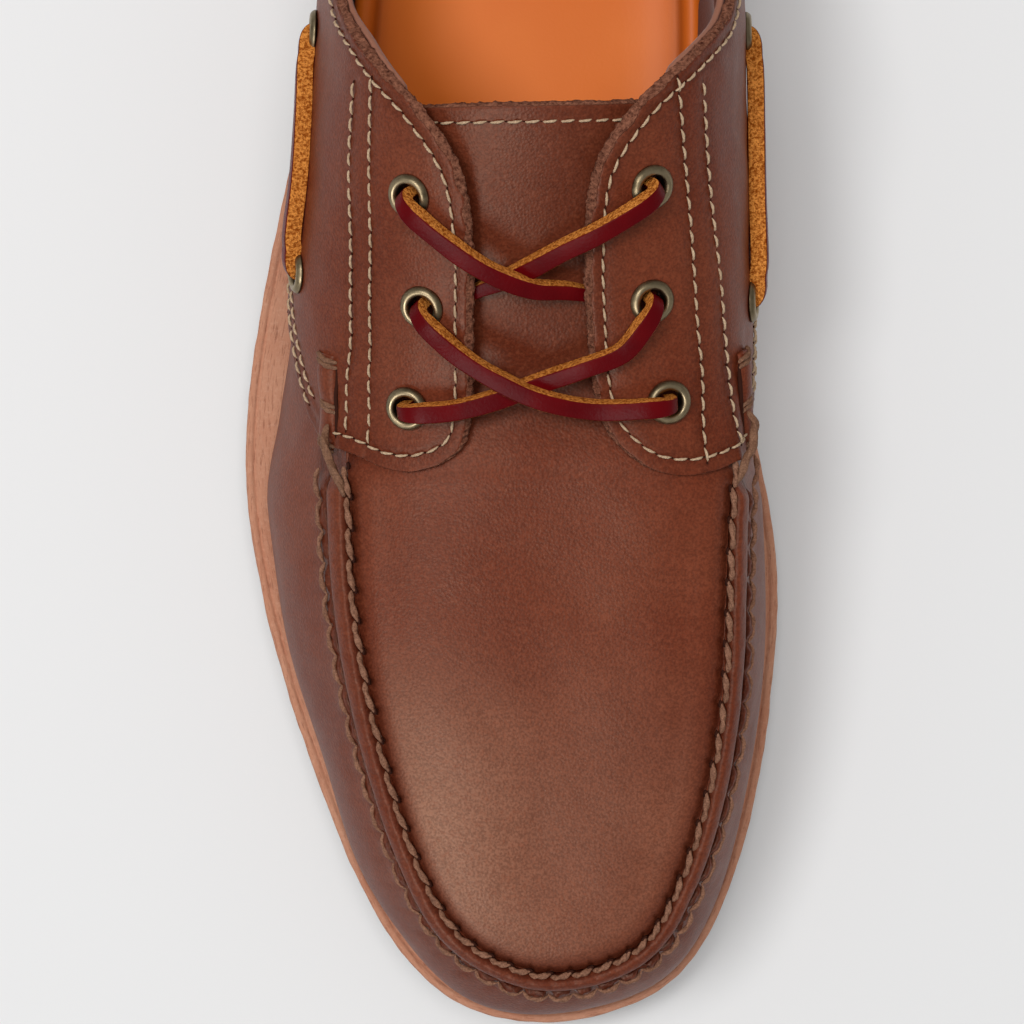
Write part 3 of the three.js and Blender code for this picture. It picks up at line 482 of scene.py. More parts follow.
def sewn(points, normals, pitch, length, radius, lift, sink=0.0, tilt=0.0, lobes=0, rings=9, sides=8, bow=0.0,
         holes=None):
    """Stitches along a line: tubes one after another, each with its middle raised by lift times a half sine
    over a start sunk below the leather, its ends tapered, tilted across the line, and bowed to its left.
    With lobes the section is a twisted strand, r (1 + 0.24 cos(lobes (angle + turn))). Holes are the lengths
    along the line between which the stitches run, in place of an even pitch."""
    s = lengths(points)
    count = max(1, int((s[-1] - pitch * 0.5) / pitch))
    first = pitch * np.arange(count) + (pitch - length) / 2
    t = np.linspace(0, 1, rings)
    at = first[:, None] + length * t[None]
    if holes is not None:
        count, run, over = len(holes) - 1, np.diff(holes), (length / pitch - 1) / 2
        at = holes[:-1, None] + run[:, None] * (t * (1 + 2 * over) - over)[None]
    p = along_curve(s, at.ravel(), points).reshape(count, rings, 3)
    n = unit(along_curve(s, at.ravel(), normals).reshape(count, rings, 3))
    forward = unit(np.gradient(p, axis=1))
    left = unit(np.cross(n, forward))
    n = np.cross(forward, left)
    arch = np.sin(np.pi * t)
    middle = p + n * (lift * arch**0.7 - sink)[None, :, None] \
        + left * (tilt * (t - 0.5) * 2 + np.reshape(bow, (-1, 1)) * arch**0.8)[:, :, None]
    angle = np.linspace(0, 2 * np.pi, sides, endpoint=False)
    r = radius * (0.35 + 0.65 * np.clip(arch * 1.6, 0, 1) ** 0.6)[:, None]
    if lobes:
        r = r * (1 + 0.24 * np.cos(lobes * (angle[None] + t[:, None] * 6.0)))
    ring = middle[:, :, None] + (left[:, :, None] * (np.cos(angle) * r)[None, :, :, None]
                                 + n[:, :, None] * (np.sin(angle) * r)[None, :, :, None])
    faces, ends = tube_faces(count, rings, sides)
    return ring.reshape(-1, 3), faces, ends


def joined(parts):
    """Several (points, quads, polygons) as one."""
    points, faces, ends, base = [], [], [], 0
    for p, f, e in parts:
        points.append(p)
        faces.append(f + base)
        ends += [[i + base for i in x] for x in e]
        base += len(p)
    return np.concatenate(points), np.concatenate(faces), ends


def centripetal(points, count):
    """Centripetal Catmull-Rom curve through points, count points in all, evenly in curve parameter, by the
    pyramid of linear blends over knots spaced by the square root of the chord."""
    p = np.asarray(points, float)
    p = np.concatenate([[2 * p[0] - p[1]], p, [2 * p[-1] - p[-2]]])
    knots = np.concatenate([[0], np.cumsum(np.linalg.norm(np.diff(p, axis=0), axis=1) ** 0.5)])
    n = len(p) - 3
    q = np.linspace(0, n, count)
    i = np.clip(np.floor(q).astype(int), 0, n - 1)
    t = (knots[i + 1] + (q - i) * (knots[i + 2] - knots[i + 1]))[:, None]

    def blend(a, b, ta, tb):
        return (a * (tb - t) + b * (t - ta)) / (tb - ta)

    k = [knots[i + j][:, None] for j in range(4)]
    a = [blend(p[i + j], p[i + j + 1], k[j], k[j + 1]) for j in range(3)]
    b = [blend(a[j], a[j + 1], k[j], k[j + 2]) for j in range(2)]
    return blend(b[0], b[1], k[1], k[2]), q


# -------------------------------------------------------------------------------------------------- colours
def linear(code):
    """sRGB hex to linear RGBA: c / 12.92 at or below 0.04045, else ((c + 0.055) / 1.055) ^ 2.4."""
    c = np.array([int(code[i:i + 2], 16) for i in (0, 2, 4)]) / 255
    return (*np.where(c <= 0.04045, c / 12.92, ((c + 0.055) / 1.055) ** 2.4).tolist(), 1.0)


def colour(name, description, code):
    """Colour property with an sRGB hex default."""
    return bpy.props.FloatVectorProperty(name=name, description=description, subtype="COLOR", size=4, min=0,
                                         max=1, default=linear(code))


def millimetres(name, description, value, low, high):
    """Length property whose default is given in millimetres."""
    return bpy.props.FloatProperty(name=name, description=description, default=value * MM, min=low * MM,
                                   max=high * MM, precision=5, subtype="DISTANCE", unit="LENGTH")


class ShoeColours(bpy.types.PropertyGroup):
    """Colours of the shoe's leathers, threads, sole and metal."""
    leather: colour("Leather", "Oiled leather of the upper", "6E2E19")
    # Random darker mottling and specks, and also painted shade: through the tone value it darkens crevices,
    # creases, seam valleys, sewn rows and the feet of walls.
    dark_leather_and_shade: colour("Dark leather", "Where the oil gathers, in folds and beside seams", "3A140A")
    leather_light: colour("Pulled leather", "Where the leather is stretched over the last", "85452D")
    # Partly the toe's stretch and partly painted highlight: lightens the apron's toe, most on its outer side,
    # where the lights stand.
    pulled_toe_and_painted_sheen: colour("Worn leather", "Where the toe has drawn the oil out of the apron", "A87C64")
    suede: colour("Cut edge", "Raw cut edge of the leather", "94604A")
    lining: colour("Lining", "Flesh side inside the collar", "6A3524")
    footbed: colour("Footbed", "Vegetable tanned footbed leather", "DC6A16")
    footbed_light: colour("Light footbed", "Paler clouds in the footbed leather", "EE8230")
    # Painted shade: darkens the footbed round its rolled rim, most on the rim's inner slope.
    footbed_painted_shade: colour("Dark footbed", "Burnished rims of the footbed", "7A3008")
    strip: colour("Sole strip", "Tan strip round the sole", "C08A6E")
    strip_shade: colour("Strip shade", "Duller clouds in the sole strip", "B87C60")
    strip_dark: colour("Torn strip", "Torn lines along the sole strip", "85503A")
    strip_fluff: colour("Strip fluff", "Loose fibres on the sole strip", "D9AC92")
    rubber: colour("Rubber", "Moulded outsole", "4A3529")
    rubber_light: colour("Light rubber", "Paler clouds in the rubber", "5E4638")
    brass: colour("Eyelet", "Antiqued brass", "96866A")
    brass_dark: colour("Eyelet patina", "Brass darkened in the bath", "4A3F2B")
    thread: colour("Thread", "Waxed polyester thread of the fine rows", "CDB394")
    thread_dark: colour("Thread shade", "Between the strands of the fine thread", "94765A")
    cord: colour("Seam thread", "Thick waxed thread of the apron seam", "9C7058")
    cord_dark: colour("Seam thread shade", "Between the strands of the thick threads", "4C2C1E")
    hinge_cord: colour("Hinge thread", "Thread round the folds at the hinges", "8E6850")
    lace: colour("Lace grain", "Burgundy grain face of the lace", "54040A")
    lace_light: colour("Light lace grain", "Paler clouds in the lace's grain face", "6C070C")
    lace_edge: colour("Lace edge", "Orange cut edge of the lace", "EE9A48")
    lace_edge_dark: colour("Lace edge shade", "Between the fibres of the lace's cut edge", "94480F")
    needle_hole: colour("Needle hole", "Shadowed inside of a needle hole", "34180F")
    floor: colour("Floor", "Pale studio floor", "E9E9E9")


class ShoeSizes(bpy.types.PropertyGroup):
    """Sizes of the shoe's details; the form itself follows the last."""
    grain: millimetres("Grain", "Width of one cell of the leather's grain", 0.55, 0.2, 2)
    ridge: millimetres("Seam height", "How far the apron seam stands up", 2.5, 0.5, 4)
    seam_thread: millimetres("Seam thread", "Radius of the apron seam's thread", 0.54, 0.3, 1.2)
    fine_thread: millimetres("Fine thread", "Radius of the thread in the fine rows", 0.25, 0.15, 0.6)
    fine_pitch: millimetres("Stitch pitch", "Hole to hole in the fine rows", 3.15, 1.5, 5)
    lace: millimetres("Lace", "Side of the square lace", 3.3, 2, 4)


def sizes():
    """The size properties."""
    return bpy.context.scene.boat_shoe_sizes


def colours():
    """The colour properties."""
    return bpy.context.scene.boat_shoe_colours


# ------------------------------------------------------------------------------------------------ materials
def add(tree, kind, inputs=None, **settings):
    """Adds a shader node with its settings; inputs maps a socket to a value or to another node's output."""
    n = tree.nodes.new("ShaderNode" + kind)
    for key, value in settings.items():
        setattr(n, key, value)
    for socket, value in (inputs or {}).items():
        if isinstance(value, bpy.types.NodeSocket):
            tree.links.new(value, n.inputs[socket])
        else:
            n.inputs[socket].default_value = value
    return n


def fresh(name):
    """A material with an empty tree, and whether it had been made before."""
    made = bpy.data.materials.get(name)
    if made:
        return made, None
    made = bpy.data.materials.new(name)
    made.use_nodes = True
    made.node_tree.nodes.clear()
    return made, made.node_tree


def grey(tree, value, low, high, to_low=0.0, to_high=1.0):
    """Maps a value from one range to another, clamped."""
    return add(tree, "MapRange", {"Value": value, "From Min": low, "From Max": high, "To Min": to_low,
                                  "To Max": to_high}).outputs[0]


def blend(tree, factor, a, b, mode="MIX"):
    """Colour mix of a and b."""
    return add(tree, "Mix", {0: factor, 6: a, 7: b}, data_type="RGBA", blend_type=mode).outputs[2]


def times(tree, a, b):
    """Product of two values."""
    return add(tree, "Math", {0: a, 1: b}, operation="MULTIPLY").outputs[0]


def plus(tree, a, b):
    """Sum of two values."""
    return add(tree, "Math", {0: a, 1: b}, operation="ADD").outputs[0]


def noise(tree, vector, size_mm, detail=3.0, roughness=0.55, distortion=0.0):
    """Noise whose features are about size_mm wide."""
    return add(tree, "TexNoise", {"Vector": vector, "Scale": 1 / (size_mm * MM), "Detail": detail,
                                  "Roughness": roughness, "Distortion": distortion}).outputs[0]


def cells(tree, vector, size_mm, feature="F1"):
    """Voronoi cells about size_mm wide: distance to the nearest point, or to the nearest border."""
    inputs = {"Vector": vector, "Scale": 1 / (size_mm * MM)}
    return add(tree, "TexVoronoi", inputs, feature=feature).outputs[0]


def value_of(tree, name):
    """A per-point value of the piece."""
    return add(tree, "Attribute", attribute_name=name).outputs["Fac"]


def finished(tree, inputs, height=None, depth_mm=0.1, strength=1.0):
    """Ends a tree in a Principled shader, with a bump of the given depth."""
    if height is not None:
        inputs["Normal"] = add(tree, "Bump", {"Height": height, "Distance": depth_mm * MM,
                                              "Strength": strength}).outputs[0]
    shader = add(tree, "BsdfPrincipled", inputs)
    add(tree, "OutputMaterial", {"Surface": shader.outputs[0]})


WAX = (1.0, 0.74, 0.58, 1.0)         # the warm tint that wax gives to light off oiled leather


def oiled_leather():
    """Full grain leather that turns paler where stretched, drum dyed, oiled and waxed: a cloudy brown with
    darker mottling and lighter clouds, painted shade in crevices, creases and beside seams, a toe lightened
    partly by its stretch and partly by a painted highlight, fine grain cells and a soft wax sheen. Its cut
    edges are raw suede."""
    made, tree = fresh("full_grain_oiled_leather")
    if tree is None:
        return made
    c = colours()
    where = add(tree, "TexCoord").outputs["Object"]
    cloud = noise(tree, where, 26, 2, 0.5, 0.4)
    mottle = noise(tree, where, 4.5, 4, 0.6)
    speck, fibre = noise(tree, where, 0.5, 2, 0.6), noise(tree, where, 0.9, 3, 0.65)
    tone, raw = value_of(tree, "tone"), value_of(tree, "raw")
    body = blend(tree, grey(tree, cloud, 0.38, 0.66, 0.0, 0.45), c.leather, c.leather_light)
    body = blend(tree, grey(tree, mottle, 0.35, 0.7, 0.16, 0.0), body, c.dark_leather_and_shade)
    toe_pull_and_sheen_mask = times(tree, value_of(tree, "toe_pull_and_sheen"), grey(tree, mottle, 0.2, 0.7, 0.75, 1.0))
    # Partly the toe's stretch, partly painted highlight: the apron's toe lightened, most on its outer side.
    body = blend(tree, toe_pull_and_sheen_mask, body, c.pulled_toe_and_painted_sheen)
    # Painted shade: the tone value darkens crevices, creases, seam valleys, sewn rows and the feet of walls.
    body = blend(tree, times(tree, tone, 0.85), body, c.dark_leather_and_shade)
    body = blend(tree, grey(tree, speck, 0.4, 0.6, 0.4, 0.0), body, c.dark_leather_and_shade)
    body = blend(tree, grey(tree, fibre, 0.5, 0.68, 0.0, 0.34), body, c.leather_light)
    fluff = noise(tree, where, 0.7, 3, 0.7)
    edge = blend(tree, grey(tree, fluff, 0.3, 0.7), c.dark_leather_and_shade, c.suede)
    worn = grey(tree, plus(tree, raw, times(tree, fluff, 0.35)), 0.75, 1.0)
    body = blend(tree, worn, body, edge)
    grain = cells(tree, where, sizes().grain / MM)
    height = plus(tree, times(tree, grain, 0.55), times(tree, speck, 0.5))
    height = plus(tree, height, times(tree, mottle, 0.1))
    height = plus(tree, height, times(tree, times(tree, worn, fluff), 5.0))
    rough = grey(tree, mottle, 0.3, 0.7, 0.42, 0.5)
    rough = add(tree, "Mix", {0: worn, 2: rough, 3: 0.95}).outputs[0]
    finished(tree, {"Base Color": body, "Roughness": rough, "IOR": 1.35, "Specular IOR Level": 0.5,
                    "Specular Tint": WAX}, height, 0.10, 0.9)
    return made


def lining_leather():
    """Split leather, flesh side out: brown, matt, with a short nap."""
    made, tree = fresh("split_lining_leather")
    if tree is None:
        return made
    c = colours()
    where = add(tree, "TexCoord").outputs["Object"]
    nap, cloud = noise(tree, where, 0.8, 4, 0.65), noise(tree, where, 11, 2)
    raw = value_of(tree, "raw")
    body = blend(tree, grey(tree, cloud, 0.35, 0.7, 0.0, 0.5), c.lining, c.dark_leather_and_shade)
    body = blend(tree, grey(tree, nap, 0.35, 0.7, 0.25, 0.0), body, c.dark_leather_and_shade)
    body = blend(tree, grey(tree, plus(tree, raw, times(tree, nap, 0.4)), 0.8, 1.1),
                 body, c.suede)
    finished(tree, {"Base Color": body, "Roughness": 0.85, "Sheen Weight": 0.2, "Sheen Roughness": 0.4},
             nap, 0.15, 0.6)
    return made


def footbed_leather():
    """Vegetable tanned sheepskin over foam, dyed orange and lightly glazed: smooth, with faint pores, and
    painted shade round its rolled rim, darkest on the rim's inner slope."""
    made, tree = fresh("vegetable_tanned_footbed_leather")
    if tree is None:
        return made
    c = colours()
    where = add(tree, "TexCoord").outputs["Object"]
    cloud, pores = noise(tree, where, 30, 2), noise(tree, where, 0.6, 3, 0.6)
    tone = value_of(tree, "tone")
    body = blend(tree, grey(tree, cloud, 0.35, 0.7, 0.0, 0.35), c.footbed, c.footbed_light)
    # Painted shade round the rolled rim, ring by ring.
    body = blend(tree, times(tree, tone, 0.75), body, c.footbed_painted_shade)
    finished(tree, {"Base Color": body, "Roughness": 0.5, "Specular IOR Level": 0.4}, pores, 0.05, 0.5)
    return made


def strip_leather():
    """Cut edge of a stacked sole strip, trimmed and left raw: fibres run along it, with torn darker lines."""
    made, tree = fresh("trimmed_sole_strip")
    if tree is None:
        return made
    c = colours()
    run = add(tree, "CombineXYZ", {"X": times(tree, value_of(tree, "run"), 0.12),
                                   "Y": value_of(tree, "across"), "Z": 0.0}).outputs[0]
    where = add(tree, "TexCoord").outputs["Object"]
    fibre, fluff = noise(tree, run, 0.45, 4, 0.7), noise(tree, where, 0.9, 4, 0.7)
    cloud = noise(tree, where, 14, 2)
    body = blend(tree, grey(tree, cloud, 0.3, 0.7), c.strip, c.strip_shade)
    body = blend(tree, grey(tree, fibre, 0.34, 0.47, 0.7, 0.0), body, c.strip_dark)
    body = blend(tree, grey(tree, fluff, 0.5, 0.75, 0.0, 0.35), body, c.strip_fluff)
    height = plus(tree, fibre, times(tree, fluff, 0.6))
    finished(tree, {"Base Color": body, "Roughness": 0.85, "Specular IOR Level": 0.3}, height, 0.2, 0.5)
    return made


def outsole_rubber():
    """Moulded rubber: matt, dense, with the fine texture of the mould."""
    made, tree = fresh("moulded_outsole_rubber")
    if tree is None:
        return made
    c = colours()
    where = add(tree, "TexCoord").outputs["Object"]
    fine, cloud = noise(tree, where, 0.5, 3), noise(tree, where, 18, 2)
    body = blend(tree, grey(tree, cloud, 0.35, 0.7, 0.0, 0.4), c.rubber, c.rubber_light)
    finished(tree, {"Base Color": body, "Roughness": 0.72, "Specular IOR Level": 0.4}, fine, 0.06, 0.5)
    return made


def antique_brass():
    """Brass, stamped, darkened in a bath and relieved on the high spots: dull olive metal with bright
    rims."""
    made, tree = fresh("antiqued_brass")
    if tree is None:
        return made
    c = colours()
    where = add(tree, "TexCoord").outputs["Object"]
    patina, scratch = noise(tree, where, 1.6, 4, 0.6), noise(tree, where, 0.35, 2)
    high = value_of(tree, "tone")
    body = blend(tree, grey(tree, plus(tree, high, times(tree, patina, 0.8)), 0.55, 1.3),
                 c.brass_dark, c.brass)
    rough = grey(tree, patina, 0.3, 0.7, 0.32, 0.5)
    finished(tree, {"Base Color": body, "Metallic": 1.0, "Roughness": rough}, scratch, 0.02, 0.4)
    return made


def waxed_thread(name, tint, dark):
    """Twisted polyester thread, waxed: fine strands run round it."""
    made, tree = fresh(name)
    if tree is None:
        return made
    where = add(tree, "TexCoord").outputs["Object"]
    strands, dirt = noise(tree, where, 0.35, 3, 0.7), noise(tree, where, 2.2, 2)
    body = blend(tree, grey(tree, strands, 0.35, 0.65, 0.75, 0.0), tint, dark)
    body = blend(tree, grey(tree, dirt, 0.4, 0.7, 0.0, 0.35), body, dark)
    finished(tree, {"Base Color": body, "Roughness": 0.7, "Specular IOR Level": 0.15}, strands, 0.08, 0.8)
    return made


def needle_dark():
    """The shadowed inside of a needle hole in oiled leather."""
    made, tree = fresh("needle_hole_shadow")
    if tree is None:
        return made
    finished(tree, {"Base Color": colours().needle_hole, "Roughness": 0.9, "Specular IOR Level": 0.1})
    return made


def rawhide():
    """Square cut lace: glazed burgundy grain on its faces, raw orange suede on its cut sides."""
    made, tree = fresh("square_cut_rawhide")
    if tree is None:
        return made
    c = colours()
    where = add(tree, "TexCoord").outputs["Object"]
    nap, cloud = noise(tree, where, 0.58, 4, 0.7), noise(tree, where, 7, 2)
    cut = value_of(tree, "raw")
    grain = blend(tree, grey(tree, cloud, 0.35, 0.7, 0.0, 0.5), c.lace, c.lace_light)
    suede = blend(tree, grey(tree, nap, 0.4, 0.6, 0.0, 1.0), c.lace_edge_dark, c.lace_edge)
    share = grey(tree, plus(tree, cut, times(tree, nap, 0.3)), 0.55, 0.75)
    body = blend(tree, share, grain, suede)
    rough = add(tree, "Mix", {0: share, 2: 0.34, 3: 0.95}).outputs[0]
    height = times(tree, nap, add(tree, "Mix", {0: share, 2: 0.12, 3: 1.0}).outputs[0])
    finished(tree, {"Base Color": body, "Roughness": rough, "Specular IOR Level": 0.06}, height, 0.6, 1.0)
    return made


# --------------------------------------------------------------------------------------------- the seam line
def seam_line(step=0.45, k_from=HINGE):
    """Stations evenly spaced by length along the apron seam from the outer hinge round the toe to the inner
    one, with their lengths along it."""
    dense = np.linspace(k_from, STATIONS - k_from, 4000)
    s = lengths(last(dense, np.ones(4000)))
    at = np.linspace(0, s[-1], int(s[-1] / step))
    return np.interp(at, s, dense), at


def seam_course():
    """Stations along the seam and the number of stitches up to each: they are closer round the toe."""
    dense = np.linspace(HINGE, STATIONS - HINGE, 4000)
    s = lengths(last(dense, np.ones(4000)))
    pitch = SEAM_PITCH - TOE_CLOSING * smoothstep((2.9 - np.abs(dense - TOE_STATION)) / 1.7)
    return dense, np.concatenate([[0], np.cumsum(np.diff(s) / pitch[1:])])


def seam_phase(u):
    """Share of the way from one stitch hole of the seam to the next at each station."""
    return np.interp(u, *seam_course()) % 1


def seam_holes(u, points):
    """Lengths along a line of points at the stations u at which the seam's stitch holes lie."""
    dense, count = seam_course()
    at = np.interp(np.arange(1, int(count[-1])), count, dense)
    at = at[(at > u[0]) & (at < u[-1])]
    return np.interp(at, u, lengths(points))


def gather(u):
    """1 at the toe, where the wall is gathered most, falling to a third along the sides."""
    return 0.34 + 0.66 * smoothstep((2.9 - np.abs(u - TOE_STATION)) / 2.2)


def on_vamp(y, u):
    """1 on the vamp, fading to 0 where the seam goes under the quarters."""
    return smoothstep((np.where(u < TOE_STATION, -37.5, -38.5) - y) / 5)


# --------------------------------------------------------------------------------------------------- vamp
def vamp_offset(u, v, y):
    """Height of the wall over the last: uneven in soft seeded waves, pillowed between the seam's stitch holes
    and drawn into short radial troughs below them."""
    phase = seam_phase(u)
    scallop = np.sin(np.pi * phase) ** 0.8
    near = np.exp(-((v - 0.76) / 0.04) ** 2)
    trough = smoothstep((v - 0.5) / 0.28) * np.exp(-((phase - np.round(phase)) / 0.17) ** 2)
    p = np.stack([u * 26, v * 40, 0 * u], -1)
    soft = 0.22 * waves(p, 34, 5) + 0.08 * waves(p, 9, 6) * smoothstep((v - 0.3) / 0.4)
    live = on_vamp(y, u) * gather(u)
    return -TUCK * behind(y) + live * (0.45 * near * scallop - 0.5 * trough) + soft


# Lip of the wall outside the seam: height parameter, share of the lip's height.
LIP = np.array([
    [0.785, 0], [0.793, 0.3], [0.801, 0.62], [0.811, 0.86], [0.822, 1.0], [0.835, 1.06], [0.847, 1.08],
    [0.855, 1.05], [0.861, 0.95], [0.866, 0.72], [0.870, 0.35], [0.873, -0.1], [0.876, -0.5], [0.90, -0.5],
    [0.95, -0.5], [1.0, -0.5],
])


def lip_height(u):
    """The gathered lip stands lower along the outer side than round the toe and on the inner side."""
    return 1.25 + 0.85 * smoothstep((u - 12.2) / 1.6)


def wall_top(u):
    """Share of its height that the wall keeps: at the waist only its foot runs on under the quarters."""
    return np.interp(np.minimum(u, STATIONS - u), [5.0, 5.6, 6.0, 6.3], [0.3, 0.4, 0.6, 1.0])


def make_vamp():
    """The moccasin wall: grid round the shoe from the sole up to the seam, where it turns up into a
    puckered lip with a raw edge and then runs on under the apron; inside, the same grid a leather's
    thickness further in."""
    u, _ = seam_line(0.5, 5.0)
    v = np.concatenate([np.linspace(0, 0.5, 14), np.linspace(0.53, 0.775, 15), LIP[:, 0]])
    share = np.concatenate([np.zeros(29), LIP[:, 1]])
    uu, vv = np.meshgrid(u, v, indexing="ij")
    vv = vv * wall_top(uu)
    y = last(uu, vv)[..., 1]
    phase = seam_phase(uu)
    scallop = np.sin(np.pi * phase) ** 0.7
    shift = -0.020 * scallop * gather(uu) * smoothstep((vv - 0.74) / 0.06) * (vv < 0.86)
    p, n = last(uu, vv + shift), outward(uu, vv)
    rise = unit(n + np.array([0, 0, UPTURN]))
    up = np.maximum(share, 0)[None]
    crumple = up * (0.34 * waves(p, 2.4, 11) + 0.26 * waves(p, 1.2, 12)) * gather(uu)
    lip = lip_height(uu) * share[None] * (0.72 + 0.4 * scallop)
    off = vamp_offset(uu, vv, y)
    outer = p + n * off[..., None] + rise * ((lip + crumple) * on_vamp(y, uu))[..., None]
    inner = last(uu, vv) + n * (-TUCK * behind(y) - VAMP_WALL + 0.25 * (vv < 0.01))[..., None]
    ring, faces, ends, raw = panel(outer, inner, 0.0)
    cols = len(v)
    raw[:] = 0
    raw[:, :cols] = 0.5 * smoothstep((up - 0.6) / 0.4) * on_vamp(y, uu)
    # Painted shade: darker at the wall's foot above the sole strip, in the crease where the lip turns up, in
    # the crevice between lip and seam roll, and in the troughs between the gathers; the lip itself is
    # darkened as well.
    tone = np.zeros_like(raw)
    edge = np.exp(-((vv - 0.79) / 0.03) ** 2) * 0.5 + np.exp(-(vv / 0.07) ** 2) * 0.5 \
        + 1.3 * np.exp(-((vv - 0.872) / 0.012) ** 2) + 0.35 * smoothstep((up - 0.3) / 0.3)
    tone[:, :cols] = np.clip(edge + 0.5 * (1 - scallop) * smoothstep((vv - 0.6) / 0.2) * gather(uu), 0, 1)
    return piece("vamp_wall", ring, faces, oiled_leather(), ("upper",),
                 {"raw": raw, "tone": tone}, ends)


def make_seam_roll():
    """The folded band between the two threads of the apron seam: a rounded profile carried round the vamp."""
    u, _ = seam_line(0.6, HINGE - 0.15)
    v = np.array([0.888, 0.886, 0.888, 0.892, 0.901, 0.915, 0.931, 0.950, 0.968, 0.982, 0.992, 0.997, 0.997])
    h = np.array([-1.4, 0.4, 0.74, 0.9, 1.0, 1.03, 1.02, 0.98, 0.9, 0.76, 0.52, 0.1, -1.4])
    uu, vv = np.meshgrid(u, v, indexing="ij")
    p, n = last(uu, vv), outward(uu, vv)
    phase = seam_phase(uu)
    y = p[..., 1]
    live = on_vamp(y, uu)
    top = np.where(h > 0, h * sizes().ridge / MM * live, h)
    pinch = -0.22 * np.exp(-((phase - np.round(phase)) / 0.13) ** 2) * (vv > 0.94)
    top = top - TUCK * behind(y) + pinch * live + 0.09 * waves(p, 12, 3)
    ring = p + unit(n + np.array([0, 0, 0.75])) * top[..., None]
    # Painted shade along both edges of the roll, where it meets the crevice below and the thread's valley
    # above, over a slight darkening all across.
    edges = np.exp(-((vv - 0.887) / 0.010) ** 2) * 0.9 + 0.12 + np.exp(-((vv - 0.995) / 0.01) ** 2) * 0.6
    tone = np.clip(edges, 0, 1)
    faces = grid_faces(len(u), len(v), 0, True)
    return piece("apron_seam_roll", ring, faces, oiled_leather(), ("upper",),
                 {"raw": 0 * tone, "tone": tone}, caps(len(u), len(v)))


def apron_drop(y):
    """How far the apron's tongue lies under the last's surface: it slips under the quarters and the lace."""
    return -(TUCK + GAP) * smoothstep((y + 41) / 14) - TONGUE_DROP * smoothstep((y + 40) / 18)


TONGUE_END = 5.97         # station, counted from the heel, of the middle of the tongue's top edge
TONGUE_SIDE = 0.6         # height parameter from the top line down to the tongue's sides


def tongue_station(k, t):
    """Stations of the tongue's rows, which bow up towards its sides near its top edge."""
    return k - 0.13 * t**2 * smoothstep((6.7 - k) / 0.7)


def tongue_lift(k, t):
    """The tongue's top end stands a little off the foot."""
    return 0.9 * smoothstep((6.6 - k) / 0.8) * (1 - 0.3 * t**2)


def make_apron():
    """The apron and the tongue in one piece: rows across the shoe from the toe to the tongue's top edge, each
    from the outer seam over the top line to the inner one, narrowing to the tongue under the quarters."""
    k = np.concatenate([TOE_STATION - 5.24 * np.linspace(0, 1, 295), np.linspace(8.74, TONGUE_END, 130)])
    half = np.concatenate([[0, 0.010, 0.022, 0.036, 0.052, 0.07], np.linspace(0.095, 1, 40)])
    t = np.concatenate([half - 1, (1 - half)[::-1][1:]])
    kk, tt = np.meshgrid(k, t, indexing="ij")
    width = TONGUE_SIDE + (1 - TONGUE_SIDE) * smoothstep((kk - 7.25) / 0.6)
    vv = 2 - np.abs(tt) * width
    ks = tongue_station(kk, tt)
    uu = np.where(tt < 0, ks, STATIONS - ks)
    y = last(uu, vv)[..., 1]
    phase = seam_phase(uu)
    hole = np.exp(-((phase - np.round(phase)) / 0.11) ** 2)
    near = 1 - np.abs(tt)
    on = on_vamp(y, uu)
    far = near * APRON_REACH                     # millimetres from the seam
    rim_dip = -0.9 * np.exp(-(far / 1.6) ** 2) + 0.4 * np.exp(-((far - 4.4) / 2.4) ** 2)
    pucker = -0.35 * hole * np.exp(-((far - 1.0) / 1.1) ** 2)
    p, n = last(uu, vv), outward(uu, vv)
    soft = 0.14 * waves(p, 30, 21) + 0.05 * waves(p, 11, 22)
    off = apron_drop(y) + (rim_dip + pucker) * on + soft + tongue_lift(kk, tt)
    outer = p + n * off[..., None]
    inner = p + n * (off - TONGUE + 0.3 * smoothstep((kk - 8) / 0.5))[..., None]
    # Painted shade in the valley beside the seam and at its stitch holes, and on the tongue where it slips
    # under the quarters and the lace.
    tone = 0.65 * np.exp(-(far / 2.2) ** 2) + 0.3 * hole * np.exp(-(far / 1.8) ** 2) \
        + 0.3 * smoothstep((y + 40) / 14)
    # turned so that its cut edge is the tongue's top edge; its first columns are welded at the toe
    ring, faces, ends, raw = panel(outer.transpose(1, 0, 2), inner.transpose(1, 0, 2), 0.3, 3, 0.22, 8, False)
    tones = np.zeros_like(raw)
    tones[:, :len(k)] = np.clip(tone, 0, 1).T
    toe_pull_and_sheen = np.zeros_like(raw)                    # lighter toe: partly the leather's stretch, partly painted highlight
    # The painted highlight is stronger towards -X, the outer side, where the key and sheen lights stand.
    left = smoothstep((14 - p[..., 0]) / 34)
    toe_pull_and_sheen[:, :len(k)] = (smoothstep((-y - 62) / 48) * (0.24 + 0.5 * left) * smoothstep(far / 7)).T
    return piece("apron_and_tongue", ring, faces, oiled_leather(), ("tongue",),
                 {"raw": raw, "tone": tones, "toe_pull_and_sheen": toe_pull_and_sheen}, ends, merge=0.004)


